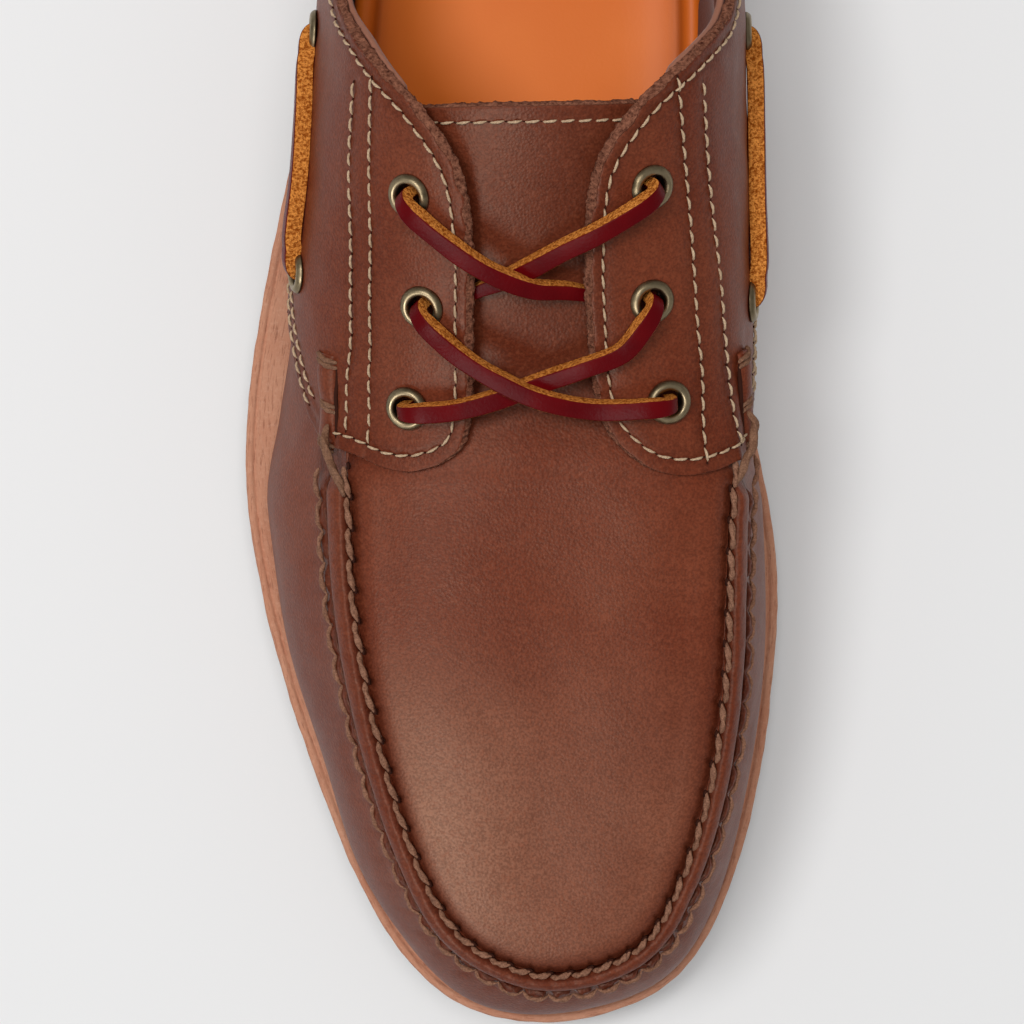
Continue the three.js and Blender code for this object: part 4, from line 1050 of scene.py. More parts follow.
# -------------------------------------------------------------------------------------- quarters and lining
def quarter_edges(side, rear=170, front=28):
    """Stations and both edges of a quarter from the heel to the rounded tip of its facing. The tip's rows are
    mirrored past it, lower and upper changed over, so that the curve turns round there."""
    table = QUARTER_EDGES[side]
    rows = np.concatenate([table, table[-2:-3:-1][:, [0, 2, 1]]])
    q = np.linspace(0, len(table) - 1, (len(table) - 1) * front + 1)
    tip = rounded(rows, q)
    k = np.concatenate([np.linspace(0.004, table[0, 0], rear, endpoint=False), tip[:, 0]])
    low = np.concatenate([np.zeros(rear), np.maximum(tip[:, 1], 0)])
    table_high = np.concatenate([np.full(rear, table[0, 2]), tip[:, 2]])
    mix = smoothstep((k - table[0, 0] + 0.12) / 0.3)
    high = table_high * mix + upper_edge(side, np.minimum(k, 5.62)) * (1 - mix)
    return k, low, high


def quarter_off(y):
    """Outside of the quarter over the last: it lies on the vamp in front and is the last's own skin
    behind."""
    return (QUARTER + GAP) * (1 - behind(y))


def facing_row(side, distance, k_from=0.35, lower_to=7.98):
    """(u, v) of the row inside the cut edge: along the collar and throat to the facing's tip and round it to
    the hinge, at a distance from the edge."""
    k, low, high = quarter_edges(side, 120, 16)
    front = k > lower_to
    ks = np.concatenate([k, k[front][::-1][1:]])
    vs = np.concatenate([high, low[front][::-1][1:]])
    keep = ks > k_from
    u, v = station(side, ks[keep]), vs[keep]
    return aside(u, v, -distance if side == "outer" else distance)


def lower_row(side, distance, k_to=7.9, k_from=5.45):
    """(u, v) of a row above the quarter's lower edge, from the waist to the hinge."""
    k, low, _ = quarter_edges(side, 20, 16)
    keep = (k > k_from) & (k < k_to)
    u, v = station(side, k[keep]), low[keep]
    return aside(u, v, distance if side == "outer" else -distance)


def double_row(side, column):
    """(u, v) of one of the two rows that run down the facing."""
    table = DOUBLE_ROWS[side]
    q = np.linspace(0, len(table) - 1, 120)
    rows = rounded(table, q)
    rows = rows[rows[:, 0] < DOUBLE_ENDS[side][column - 1]]
    return station(side, rows[:, 0]), rows[:, column]


def counter_rows(side, distance):
    """(u, v) of a row behind the front edge of the heel counter."""
    t = np.linspace(0.02, 0.985, 80)
    k = counter_station(side, t)
    u = station(side, k)
    v = t * upper_edge(side, k)
    return aside(u, v, distance if side == "outer" else -distance)


def raised(u, v, off):
    """Points and normals of a (u, v) line at an offset that may depend on y."""
    y = last(u, v)[..., 1]
    height = off(y) if callable(off) else off + 0 * y
    return skin(u, v, height), outward(u, v)


def fine_rows():
    """All fine rows: name, points and normals on the outside of the leather that they hold."""
    rows = {}
    for side in SIDES:
        rows[f"{side}_edge"] = raised(*facing_row(side, 3.0), quarter_off)
        rows[f"{side}_facing_a"] = raised(*double_row(side, 1), quarter_off)
        rows[f"{side}_facing_b"] = raised(*double_row(side, 2), quarter_off)
        rows[f"{side}_lower_a"] = raised(*lower_row(side, 2.6), quarter_off)
        rows[f"{side}_lower_b"] = raised(*lower_row(side, 5.4), quarter_off)
        for i, distance in enumerate((2.4, 5.0)):
            rows[f"{side}_counter_{i}"] = raised(*counter_rows(side, distance), GAP + COUNTER)
    return rows


def make_quarter(side, rows):
    """One quarter: grid from the lower edge to the collar and throat at each station, as thick as its
    leather, thinned at its cut edge and pressed in along the sewn rows."""
    k, low, high = quarter_edges(side)
    share = np.linspace(0, 1, 70)
    share = share - 0.13 * np.sin(2 * np.pi * share)                # finer near both edges
    u = station(side, k)
    uu = np.repeat(u[:, None], len(share), 1)
    vv = low[:, None] + (high - low)[:, None] * share[None]
    p, n = last(uu, vv), outward(uu, vv)
    y = p[..., 1]
    from_edge = np.minimum(share, 1 - share)[None] * (high - low)[:, None] * WALL_REACH
    lip = (vv > 0.02) * np.exp(-(from_edge / 0.9) ** 2)
    soft = 0.16 * waves(p, 26, 31) + 0.06 * waves(p, 8, 32)
    skive = np.clip(1 - from_edge / (0.8 + 0.22 * waves(p, 5, 34)), 0, 1) * (vv > 0.02)
    off = quarter_off(y) - 0.8 * skive - 0.12 * lip + soft
    own = [r[0] for name, r in rows.items() if name.startswith(side) and "counter" not in name]
    outer, line = pressed(p + n * off[..., None], n, own)
    torn = 0.26 * waves(p, 1.1, 33) * smoothstep(skive * 3)
    outer = outer + (n + np.array([0, 0, 0.3])) * torn[..., None]
    inner = p + n * (quarter_off(y) - QUARTER + 0.25 * lip)[..., None]
    if side == "inner":
        outer, inner, line, from_edge, skive = (a[:, ::-1] for a in (outer, inner, line, from_edge, skive))
    ring, faces, ends, raw = panel(outer, inner, 0.3, 3, 0.22, 40 + SIDES[side])
    tone = np.zeros_like(raw)
    # Painted shade in the pressed grooves of the sewn rows; darker also towards the cut edge.
    tone[:, :len(share)] = np.clip(0.3 * line + 0.2 * np.exp(-from_edge / 2.5), 0, 1)
    raw[:, :len(share)] = np.maximum(raw[:, :len(share)], smoothstep(skive * 6))
    made = piece(f"quarter_{side}", ring, faces, oiled_leather(), (f"quarter_{side}",),
                 {"raw": raw, "tone": tone}, ends, merge=0.015)
    return punched(made)


def make_lining():
    """Lining of the back half: grid right round the heel, from the sole up to just under the collar and,
    past the waist, under the facings."""
    k = np.linspace(-8.2, 8.2, 390)
    side_high = []
    for side, keep in (("outer", k >= 0), ("inner", k < 0)):
        kk = np.abs(k[keep])
        edge = np.interp(kk, *QUARTER_EDGES[side][:, [0, 2]].T)
        mix = smoothstep((kk - 5.2) / 0.3)
        high = upper_edge(side, np.minimum(kk, 5.6)) * (1 - mix) + edge * mix
        facing = np.interp(kk, [5.7, 6.3, 7.0, 8.2], [1.56, 1.6, 1.55, 1.2])
        side_high.append((keep, np.minimum(high, facing)))
    high = np.zeros(len(k))
    for keep, value in side_high:
        high[keep] = value
    high -= 0.004
    u = np.where(k >= 0, k, STATIONS + k)
    share = np.linspace(0, 1, 40)
    uu = np.repeat(u[:, None], len(share), 1)
    vv = high[:, None] * share[None]
    p, n = last(uu, vv), outward(uu, vv)
    y = p[..., 1]
    lip = np.exp(-((1 - share[None]) * high[:, None] * WALL_REACH / 1.1) ** 2)
    low = smoothstep((np.abs(k)[:, None] - 4.7) / 0.25) * smoothstep((0.78 - vv) / 0.12)
    under = np.maximum(smoothstep((np.abs(k)[:, None] - 5.75) / 0.5), low) * (0.25 + VAMP_WALL)
    off = -TUCK * behind(y) + 0.22 - under
    soft = 0.18 * waves(p, 22, 51)
    outer = p + n * off[..., None]
    inner = p + n * (off - LINING_WALL - 0.1 + 0.4 * lip + soft)[..., None]
    ring, faces, ends, raw = panel(outer, inner, 0.25, 3, 0.14, 52)
    return punched(piece("collar_lining", ring, faces, lining_leather(), ("upper",),
                         {"raw": raw}, ends))


def counter_station(side, t):
    """Station, counted from the heel, of the counter's front edge at a share t of the wall's height."""
    def further_back(k):
        p = last(station(side, k), t * upper_edge(side, k))
        return p[..., 1] > reading(COUNTER_EDGE, p[..., 2])

    return halving(np.shape(t), 0.4, 4.5, further_back)


def make_counter(rows):
    """Heel counter: rows up the back of the shoe, each from the outer front edge round the heel to the
    inner one."""
    t = np.linspace(0, 0.995, 64)
    a = np.linspace(-1, 1, 190)
    ends_k = {side: counter_station(side, t) for side in SIDES}
    tt, aa = np.meshgrid(t, a, indexing="ij")
    k = np.where(aa > 0, aa * ends_k["outer"][:, None], -aa * ends_k["inner"][:, None])
    uu = np.where(aa > 0, k, STATIONS - k)
    high = np.where(aa > 0, upper_edge("outer", k), upper_edge("inner", k))
    vv = tt * high
    p, n = last(uu, vv), outward(uu, vv)
    lip = np.exp(-((1 - np.abs(aa)) * 60 / 1.0) ** 2) + np.exp(-((1 - tt) * 66 / 1.2) ** 2)
    off = GAP + COUNTER - 0.3 * lip + 0.12 * waves(p, 24, 61)
    own = [r[0] for name, r in rows.items() if "counter" in name]
    outer, line = pressed(p + n * off[..., None], n, own)
    inner = p + n * (GAP * 0.5 + 0.1 * lip)[..., None]
    ring, faces, ends, raw = panel(outer[:, ::-1], inner[:, ::-1], 0.2, 3, 0.1, 62)
    tone = np.zeros_like(raw)
    # Painted shade in the pressed grooves of the sewn rows and at the counter's foot above the sole strip.
    tone[:, :len(a)] = (0.3 * line + 0.35 * np.exp(-(tt / 0.06) ** 2))[:, ::-1]
    return piece("heel_counter_leather", ring, faces, oiled_leather(), ("heel_counter",),
                 {"raw": raw, "tone": tone}, ends)


# ------------------------------------------------------------------------------------------------- eyelets
def eyelet_frame(at):
    """Origin and axes of an eyelet: z along the last's normal, x across it and level."""
    u, v, lift = at
    z = outward(u, v)
    x = unit(np.cross([0, 1, 0], z))
    return last(u, v) + z * lift, x, np.cross(z, x), z


# Eyelet profile from the barrel's foot inside up over the rolled flange and back: radius, height, highlight.
EYELET_PROFILE = np.array([
    [2.32, -2.1, 0], [2.30, -0.6, 0], [2.32, 0.2, 0.2], [2.42, 0.62, 0.6], [2.64, 0.93, 0.9],
    [2.95, 1.08, 1.0], [3.30, 1.07, 0.9], [3.65, 0.88, 0.6], [3.93, 0.58, 0.5], [4.10, 0.28, 0.7],
    [4.15, 0.06, 0.3], [4.05, -0.1, 0], [2.85, -0.15, 0], [2.80, -2.1, 0],
])


def lathe(origin, x, y, z, profile, sides):
    """A closed profile turned about z: point = origin + r (x cos a + y sin a) + h z."""
    a = np.linspace(0, 2 * np.pi, sides, endpoint=False)
    radial = x[None] * np.cos(a)[:, None] + y[None] * np.sin(a)[:, None]
    return origin + profile[:, None, :1] * radial[None] + profile[:, None, 1:2] * z


def make_eyelets():
    """Rolled eyelets: the profile turned about each hole's axis."""
    for name, at in EYELETS.items():
        o, x, y, z = eyelet_frame(at)
        sides = 48
        p = lathe(o, x, y, z, EYELET_PROFILE, sides)
        rows = len(EYELET_PROFILE)
        i = np.arange(rows * sides).reshape(rows, sides)
        i = np.concatenate([i, i[:1]], 0)
        i = np.concatenate([i, i[:, :1]], 1)
        faces = np.stack([i[:-1, :-1], i[1:, :-1], i[1:, 1:], i[:-1, 1:]], -1).reshape(-1, 4)[:, ::-1]
        tone = np.repeat(EYELET_PROFILE[:, 2:3], sides, 1)
        piece(f"brass_{name}", p, faces, antique_brass(), (name,), {"tone": tone},
              merge=0.001)


def punched(made):
    """Cuts the eyelets' holes through a piece of leather."""
    sides, radius = 28, 3.0
    points, faces, ends = [], [], []
    for at in EYELETS.values():
        o, x, y, z = eyelet_frame(at)
        base = len(points) * 2 * sides
        points.append(lathe(o, x, y, z, np.array([[radius, -7.5], [radius, 2.6]]), sides).reshape(-1, 3))
        faces.append(grid_faces(2, sides, base, True))
        ends += [[base + i for i in range(sides)][::-1], [base + sides + i for i in range(sides)]]
    return carved(made, "punch", np.concatenate(points), np.concatenate(faces).tolist() + ends)


# --------------------------------------------------------------------------------------------------- laces
def rising(at, target, tight=1.0):
    """Where the lace comes up through an eyelet and bends over its rim towards a point: rows of place, grain
    direction and size. tight scales the height of the bend."""
    o, _, _, n = eyelet_frame(at)
    way = target - o
    d = unit(way - n * (way @ n))
    both = unit(n - d)
    steps = [(-0.3, -1.9, -d, 0.68), (-0.3, -0.2, -d, 0.68), (-0.1, 1.3, -d, 0.72), (0.9, 2.65, both, 0.82),
             (2.6, 3.15, n, 0.95), (4.6, 3.0, n, 1)]
    return [np.concatenate([o + d * a + n * (h * tight if h > 0 else h), grain, [size]])
            for a, h, grain, size in steps]


def strand(start, middle, end, tight=1.0, count=110):
    """One run of the square lace: a section with rounded corners carried along a centripetal curve, the grain
    face turned as its rows say. The cut value is 1 on the two sides and 0 on the two faces."""
    rows = [np.concatenate([skin(u, v, h), outward(u, v), [size]]) for u, v, h, size in
            [(np.float64(a), np.float64(b), np.float64(c), d) for a, b, c, d in middle]]
    if start:
        rows = rising(EYELETS[start], rows[0][:3], tight) + rows
    if end:
        rows = rows + rising(EYELETS[end], rows[-1][:3], tight)[::-1]
    rows = np.array(rows)
    p, q = centripetal(rows[:, :3], count)
    other = np.stack([np.interp(q, np.arange(len(rows)), rows[:, 3 + i]) for i in range(4)], -1)
    forward = unit(np.gradient(p, axis=0))
    side = unit(np.cross(forward, other[:, :3]))
    up = np.cross(side, forward)
    half, corner, per = sizes().lace / MM / 2, 0.34, 5
    turn = np.radians(np.linspace(0, 90, per))
    quarter = np.stack([half - corner + corner * np.cos(turn), half - corner + corner * np.sin(turn)], -1)
    outline = np.concatenate([quarter, np.stack([-quarter[:, 1], quarter[:, 0]], -1), -quarter,
                              np.stack([quarter[:, 1], -quarter[:, 0]], -1)])
    size = other[:, 3:4]
    wobble = 1 + 0.035 * waves(p, 9, 71)[:, None]
    ring = p[:, None] + side[:, None] * (outline[None, :, :1] * (size * wobble)[..., None]) \
        + up[:, None] * (outline[None, :, 1:] * size[..., None])
    n = len(outline)
    cut = np.abs(outline[:, 0]) > np.abs(outline[:, 1]) + 0.02
    faces = grid_faces(count, n, 0, True)[:, ::-1]
    ends = [cap[::-1] for cap in caps(count, n)]
    return ring.reshape(-1, 3), faces, ends, np.repeat(cut[None].astype(float), count, 0)


# Each lace piece: its node, and its runs as strand takes them.
LACES = {
    "rawhide_upper_cross": ("lace_upper_cross", [
        ("eyelet_outer_top", UPPER_A, None), ("eyelet_inner_top", UPPER_B, None)]),
    "rawhide_lower_cross": ("lace_lower_cross", [
        ("eyelet_inner_middle", LOWER_C, "eyelet_outer_bottom"),
        ("eyelet_outer_middle", LOWER_D, "eyelet_inner_bottom")]),
    "rawhide_side_outer": ("lace_side_outer", [
        ("eyelet_side_outer_front", SIDE_OUTER, "eyelet_side_outer_rear", 0.45)]),
    "rawhide_side_inner": ("lace_side_inner", [
        ("eyelet_side_inner_front", SIDE_INNER, "eyelet_side_inner_rear", 0.45)]),
}


def make_laces():
    """The two crossings and the two side laces."""
    for name, (node, runs) in LACES.items():
        made = [strand(*run) for run in runs]
        points, faces, ends = joined([m[:3] for m in made])
        piece(name, points, faces, rawhide(), (node,),
              {"raw": np.concatenate([m[3].ravel() for m in made])}, ends)


# ------------------------------------------------------------------------------------------------- threads
def hole_marks(points, normals, at, long, wide, shift=0.0):
    """Painted shadows of needle holes along a line: at each length a small dark mound of three rings, its
    foot in the leather and its top just over it, so that the threads on both sides come out of it."""
    s = lengths(points)
    here = along_curve(s, at, points)
    normal = unit(along_curve(s, at, normals))
    ahead = unit(along_curve(s, at + 0.2, points) - along_curve(s, at - 0.2, points))
    left = np.cross(normal, ahead)
    here = here + left * shift
    a = np.linspace(0, 2 * np.pi, 8, endpoint=False)
    rings = [here[:, None] + (np.cos(a) * long * k)[None, :, None] * ahead[:, None]
             + (np.sin(a) * wide * k)[None, :, None] * left[:, None] + normal[:, None] * h
             for k, h in ((1.0, -0.4), (0.9, 0.0), (0.3, 0.1))]
    faces, ends = tube_faces(len(here), 3, 8)
    return np.stack(rings, 1).reshape(-1, 3), faces, ends


def make_seam_threads():
    """Thread of the apron seam: thick twisted stitches in the valley beside the apron, a dark slit of painted
    shadow where each dives on the apron's side, and a bowed one outside the lip at each gather."""
    u, _ = seam_line(0.5, HINGE + 0.12)
    r = sizes().seam_thread / MM
    p, n = skin(u, np.full(len(u), 1.008), 0.3), outward(u, np.full(len(u), 1.0))
    holes = seam_holes(u, p)
    inner = sewn(p, unit(n + [0, 0, 0.3]), SEAM_PITCH, SEAM_PITCH * 1.06, r, 0.55, 0.3, 0.5, 2, 26, 16,
                 holes=holes)
    # Painted shadow of the hole where each stitch dives on the apron's side.
    marks = hole_marks(p, unit(n + [0, 0, 0.3]), holes - 0.2, 0.75, 0.34, 0.72)
    v = np.full(len(u), 0.828)
    m = outward(u, v)
    q = last(u, v) + unit(m + np.array([0, 0, UPTURN])) * (lip_height(u) * 0.98)[:, None]
    cuts = seam_holes(u, q)
    bow = -0.8 - 0.6 * gather(np.interp(cuts[:-1], lengths(q), u))
    outer = sewn(q, unit(m + [0, 0, 0.3]), SEAM_PITCH, SEAM_PITCH * 1.04, r * 0.86, 0.35, 0.2, 0.0, 2, 26, 14,
                 bow=bow, holes=cuts)
    points, faces, ends = joined([inner, outer])
    cord = waxed_thread("waxed_seam_thread", colours().cord, colours().cord_dark)
    piece("apron_seam_thread", points, faces, cord, (), None, ends)
    piece("apron_seam_slit_shadows", marks[0], marks[1], needle_dark(), (), None, marks[2])


def make_fine_threads(rows):
    """All fine rows in one piece, and the painted shadows of their needle holes in another."""
    s = sizes()
    pitch, r = s.fine_pitch / MM, s.fine_thread / MM
    tongue_t = np.linspace(-0.985, 0.985, 160)
    k = TONGUE_END + 0.095
    ks = tongue_station(k, tongue_t)
    tu = np.where(tongue_t < 0, ks, STATIONS - ks)
    tv = 2 - np.abs(tongue_t) * TONGUE_SIDE
    off = apron_drop(last(tu, tv)[:, 1]) + tongue_lift(k, tongue_t)
    rows = dict(rows, tongue=(skin(tu, tv, off), outward(tu, tv)))
    threads, holes = [], []
    for p, n in rows.values():
        threads.append(sewn(p, n, pitch, pitch * 0.84, r, 0.42, 0.12, 0.13, 2, 8, 8))
        holes.append(hole_marks(p, n, np.arange(0.05, lengths(p)[-1] - pitch * 0.4, pitch), 0.3, 0.15))
    points, faces, ends = joined(threads)
    tint = waxed_thread("waxed_fine_thread", colours().thread, colours().thread_dark)
    piece("fine_stitching", points, faces, tint, (), None, ends)
    points, faces, ends = joined(holes)
    piece("needle_hole_shadows", points, faces, needle_dark(), (), None, ends)


# ---------------------------------------------------------------------------------------------------- sole
def sole_ring(u, inset, height, rise=0.0):
    """Ring inside the edge of the sole, at a rise over a height that depends on y."""
    r, inward = edge_frame(u)
    p = r[..., :2] + inward * np.asarray(inset)[..., None]
    return np.concatenate([p, (height(p[..., 1]) + rise)[..., None]], -1)


def closed_rings(rings):
    """A body from rings round the shoe: quads between them, strips across the first and the last from the
    outer side to the inner one."""
    rows, n = len(rings), len(rings[0])
    faces = [grid_faces(rows, n, 0, True)]
    half = n // 2
    i = np.arange(1, half - 1)
    for row, turn in ((0, -1), (rows - 1, 1)):
        b = row * n
        quads = np.stack([b + i, b + i + 1, b + n - i - 1, b + n - i], -1)
        faces.append(quads[:, ::turn])
    ends = []
    for row, turn in ((0, -1), (rows - 1, 1)):
        b = row * n
        ends += [[b, b + 1, b + n - 1][::turn], [b + half - 1, b + half, b + half + 1][::turn]]
    return np.array(rings), np.concatenate(faces), ends


# Sole strip from inside below, round its edge, to inside on top: inset from the sole's edge, height under
# its top. The dips are the channel in its side and the scored line on its top.
STRIP_PROFILE = np.array([
    [9.0, -4.6], [0.9, -4.6], [0.35, -4.5], [0.05, -4.1], [0.0, -3.4], [0.05, -2.85], [0.5, -2.6],
    [0.5, -2.25], [0.05, -2.05], [0.0, -1.4], [0.0, -0.8], [0.15, -0.35], [0.45, -0.08], [0.95, 0.0],
    [1.45, 0.0], [1.65, -0.3], [1.9, -0.36], [2.15, -0.28], [2.35, 0.02], [3.0, 0.04], [4.2, 0.0],
    [7.5, -0.05],
])


def make_strip():
    """The sole strip: its profile carried round the sole's edge, roughened by waves that are long along
    it."""
    n = 1100
    u = np.arange(n) * STATIONS / n
    rings = []
    s = lengths(sole_ring(u, 0 * u, rim))
    for inset, h in STRIP_PROFILE:
        p = np.stack([s * 0.35, np.full(n, inset * 3.0), np.full(n, h * 3.0)], -1)
        rough = 0.05 * waves(p, 1.7, 81) + 0.05 * waves(p, 5, 82)
        outer_face = np.exp(-inset / 1.2)
        rise = h + rough * (h > -1) * 0.5
        rings.append(sole_ring(u, inset - rough * outer_face * (h > -4.5), rim, rise))
    points, faces, ends = closed_rings(rings)
    profile = lengths(STRIP_PROFILE)
    values = {"run": np.repeat(s[None] * MM, len(rings), 0), "across": np.repeat(profile[:, None] * MM, n, 1)}
    piece("sole_strip", points, faces, strip_leather(), ("midsole",), values, ends)


def tread(y):
    """Underside of the tread: flat, rising at the toe."""
    return np.maximum(reading(SOLE, y, 1), 0)


def strip_foot(y):
    """Underside of the sole strip."""
    return rim(y) - STRIP


# Rings of the outsole from below: inset from its edge, height function, rise over it.
OUTSOLE_RINGS = [
    (11, tread, 0), (3.4, tread, 0), (2.5, tread, 0.35), (1.7, tread, 1.6), (1.3, tread, 3.0),
    (0.9, strip_foot, -1.6), (0.8, strip_foot, -0.9), (1.0, strip_foot, -0.45), (1.5, strip_foot, -GAP),
]
TREAD_CREASE = 35         # degrees: sharper edges than this are shaded as edges
ARCH = np.array([[4, -2], [9, 2.6], [18, 5], [34, 7], [52, 7.4], [57, 6.6], [59, -2]])      # side view: y, z
GROOVES = [-134, -121, -108, -95, -82, -69, -56, -43, -30, -17, -4, 72, 85, 98, 111, 124, 137]


def box_of(x0, x1, y0, y1, z0, z1):
    """Eight corners and six faces of a box."""
    p = np.array([[x, y, z] for z in (z0, z1) for y in (y0, y1) for x in (x0, x1)], float)
    f = np.array([[0, 2, 3, 1], [4, 5, 7, 6], [0, 1, 5, 4], [2, 6, 7, 3], [0, 4, 6, 2], [1, 3, 7, 5]])
    return p, f, []


def make_outsole():
    """The outsole: rings round the sole from the tread up, less the arch, the grooves between its lugs and
    the fine cuts across each lug."""
    n = 560
    u = np.arange(n) * STATIONS / n
    rings = [sole_ring(u, inset + 0 * u, *level) for inset, *level in OUTSOLE_RINGS]
    points, faces, ends = closed_rings(rings)
    made = piece("lugged_outsole", points, faces, outsole_rubber(), ("outsole",), None,
                 ends)
    cutters = []
    for y in GROOVES:
        top = float(tread(np.array(float(y)))) + LUG
        cutters += [box_of(-80, 0.5, y - 1.7, y + 1.7, -5, top), box_of(5.5, 80, y - 1.7, y + 1.7, -5, top)]
        if y not in (-4, 137):
            fine = float(tread(np.array(y + 6.5))) + 1.1
            cutters += [box_of(x, x + 17, y + 6.2, y + 6.8, -5, fine) for x in (-43, -20, 9, 32)]
    q = np.linspace(0, len(ARCH) - 1, 40)
    arch = rounded(ARCH.astype(float), q)
    m = len(arch)
    cut = np.concatenate([np.column_stack([np.full(m, x), arch]) for x in (-80, 80)])
    i = np.arange(m - 1)
    quads = np.stack([i, i + 1, m + i + 1, m + i], -1)
    cutters.append((cut, np.concatenate([quads, [[m - 1, 0, m, 2 * m - 1]]]),
                    [list(range(m))[::-1], list(range(m, 2 * m))]))
    points, faces, ends = joined(cutters)
    carved(made, "tread_cutter", points, faces.tolist() + ends)
    made.data.set_sharp_from_angle(angle=math.radians(TREAD_CREASE))


# ------------------------------------------------------------------------------------------------- footbed
# Top of the footbed, the rolled rim and then the hollow: share of the way in, height over the strip.
BED_PROFILE = [
    (0.0, 7.7), (0.018, 8.3), (0.045, 8.6), (0.075, 8.35), (0.1, 7.7), (0.118, 6.9), (0.135, 6.4),
    (0.155, 6.2), (0.2, 5.6), (0.27, 4.9), (0.36, 4.45), (0.48, 4.3), (0.62, 4.3), (0.8, 4.35),
    (1.0, 4.4),
]
# Painted shade of each ring: five of the underside and side, then one for each row above; darkest on the
# inner slope of the rolled rim.
BED_SHADE = [0.6, 0.6, 0.6, 0.7, 0.6, 0.35, 0.15, 0.05, 0.15, 0.45, 0.85, 0.8, 0.4, 0.15, 0.05, 0, 0, 0, 0, 0]
BED_FLAT = 4.3            # height of the footbed where its rim runs out


def bed_ring(u, height, inset):
    """Ring inside the lining at a height over the sole strip's top, by halving v."""
    def ring(v):
        y = last(u, v)[..., 1]
        return skin(u, v, -TUCK * behind(y) - VAMP_WALL + (VAMP_WALL - LINING_WALL) * behind(y) - inset)

    def under(v):
        p = ring(v)
        return p[..., 2] < rim(p[..., 1]) + height

    return ring(halving(len(u), 0, 1, under, 15))


def make_footbed():
    """The padded footbed: rings from its underside round the rolled rim, down into the basin and in to the
    top line's plan, where both sides meet."""
    n = 420
    u = np.arange(n) * STATIONS / n
    spine = around(SPINE_CONTROL, u)[:, :2]
    edge = bed_ring(u, GAP + 0.2, 0.9)
    # the rim runs out flat under the forefoot
    roll = smoothstep((around(LAST_CONTROL, u)[:, 1] + 45) / 60)
    rows = [(1.0, 0.4, edge), (0.5, 0.4, edge), (0.0, 0.4, edge), (0.0, 4.0, bed_ring(u, GAP + 4, 0.7)),
            (0.0, 6.6, bed_ring(u, GAP + 6.6, 0.8))]
    rolled = bed_ring(u, GAP + 7.6, 1.3)
    rows += [(k, h, rolled) for k, h in BED_PROFILE]
    rings = []
    for k, h, ring in rows:
        xy = ring[:, :2] + (spine - ring[:, :2]) * k
        flat = min(h, BED_FLAT)
        rings.append(np.column_stack([xy, rim(xy[:, 1]) + GAP + flat + (h - flat) * roll]))
    rings = np.array(rings)
    soft = 0.25 * waves(rings, 30, 91)
    rings[5:, :, 2] += soft[5:] * 0.6
    tone = np.repeat(np.array(BED_SHADE)[:, None], n, 1)
    piece("footbed_pad", rings, grid_faces(len(rings), n, 0, True), footbed_leather(),
          ("footbed",), {"tone": tone}, merge=0.02)


# -------------------------------------------------------------------------------------------- hinge details
# Ends of the fold at each hinge: station counted from the heel, height parameter.
HINGE_FOLDS = {"outer": ((7.40, 1.05), (8.03, 0.905)), "inner": ((7.42, 1.0), (8.13, 0.84))}
BINDINGS = (0.07, 0.52, 0.93)         # shares of the fold's length at which the thread goes round it
# The cord over the facing's edge: station from the heel, height over the last.
EDGE_CORD = np.array([[7.86, 1.6], [7.95, 3.2], [8.12, 3.1], [8.22, 2.2], [8.40, 0.9]])
# Its course: station from the heel, height parameter.
EDGE_COURSE = np.array([[7.86, 0.985], [8.15, 0.995], [8.40, 1.004]])


def cord_along(line, normals, radius, lift=0.0, lobes=0, rings=30, sides=8):
    """One stitch as long as its line."""
    run = lengths(line)[-1]
    return sewn(line, normals, run, run, radius, lift, 0.0, 0.0, lobes, rings, sides)


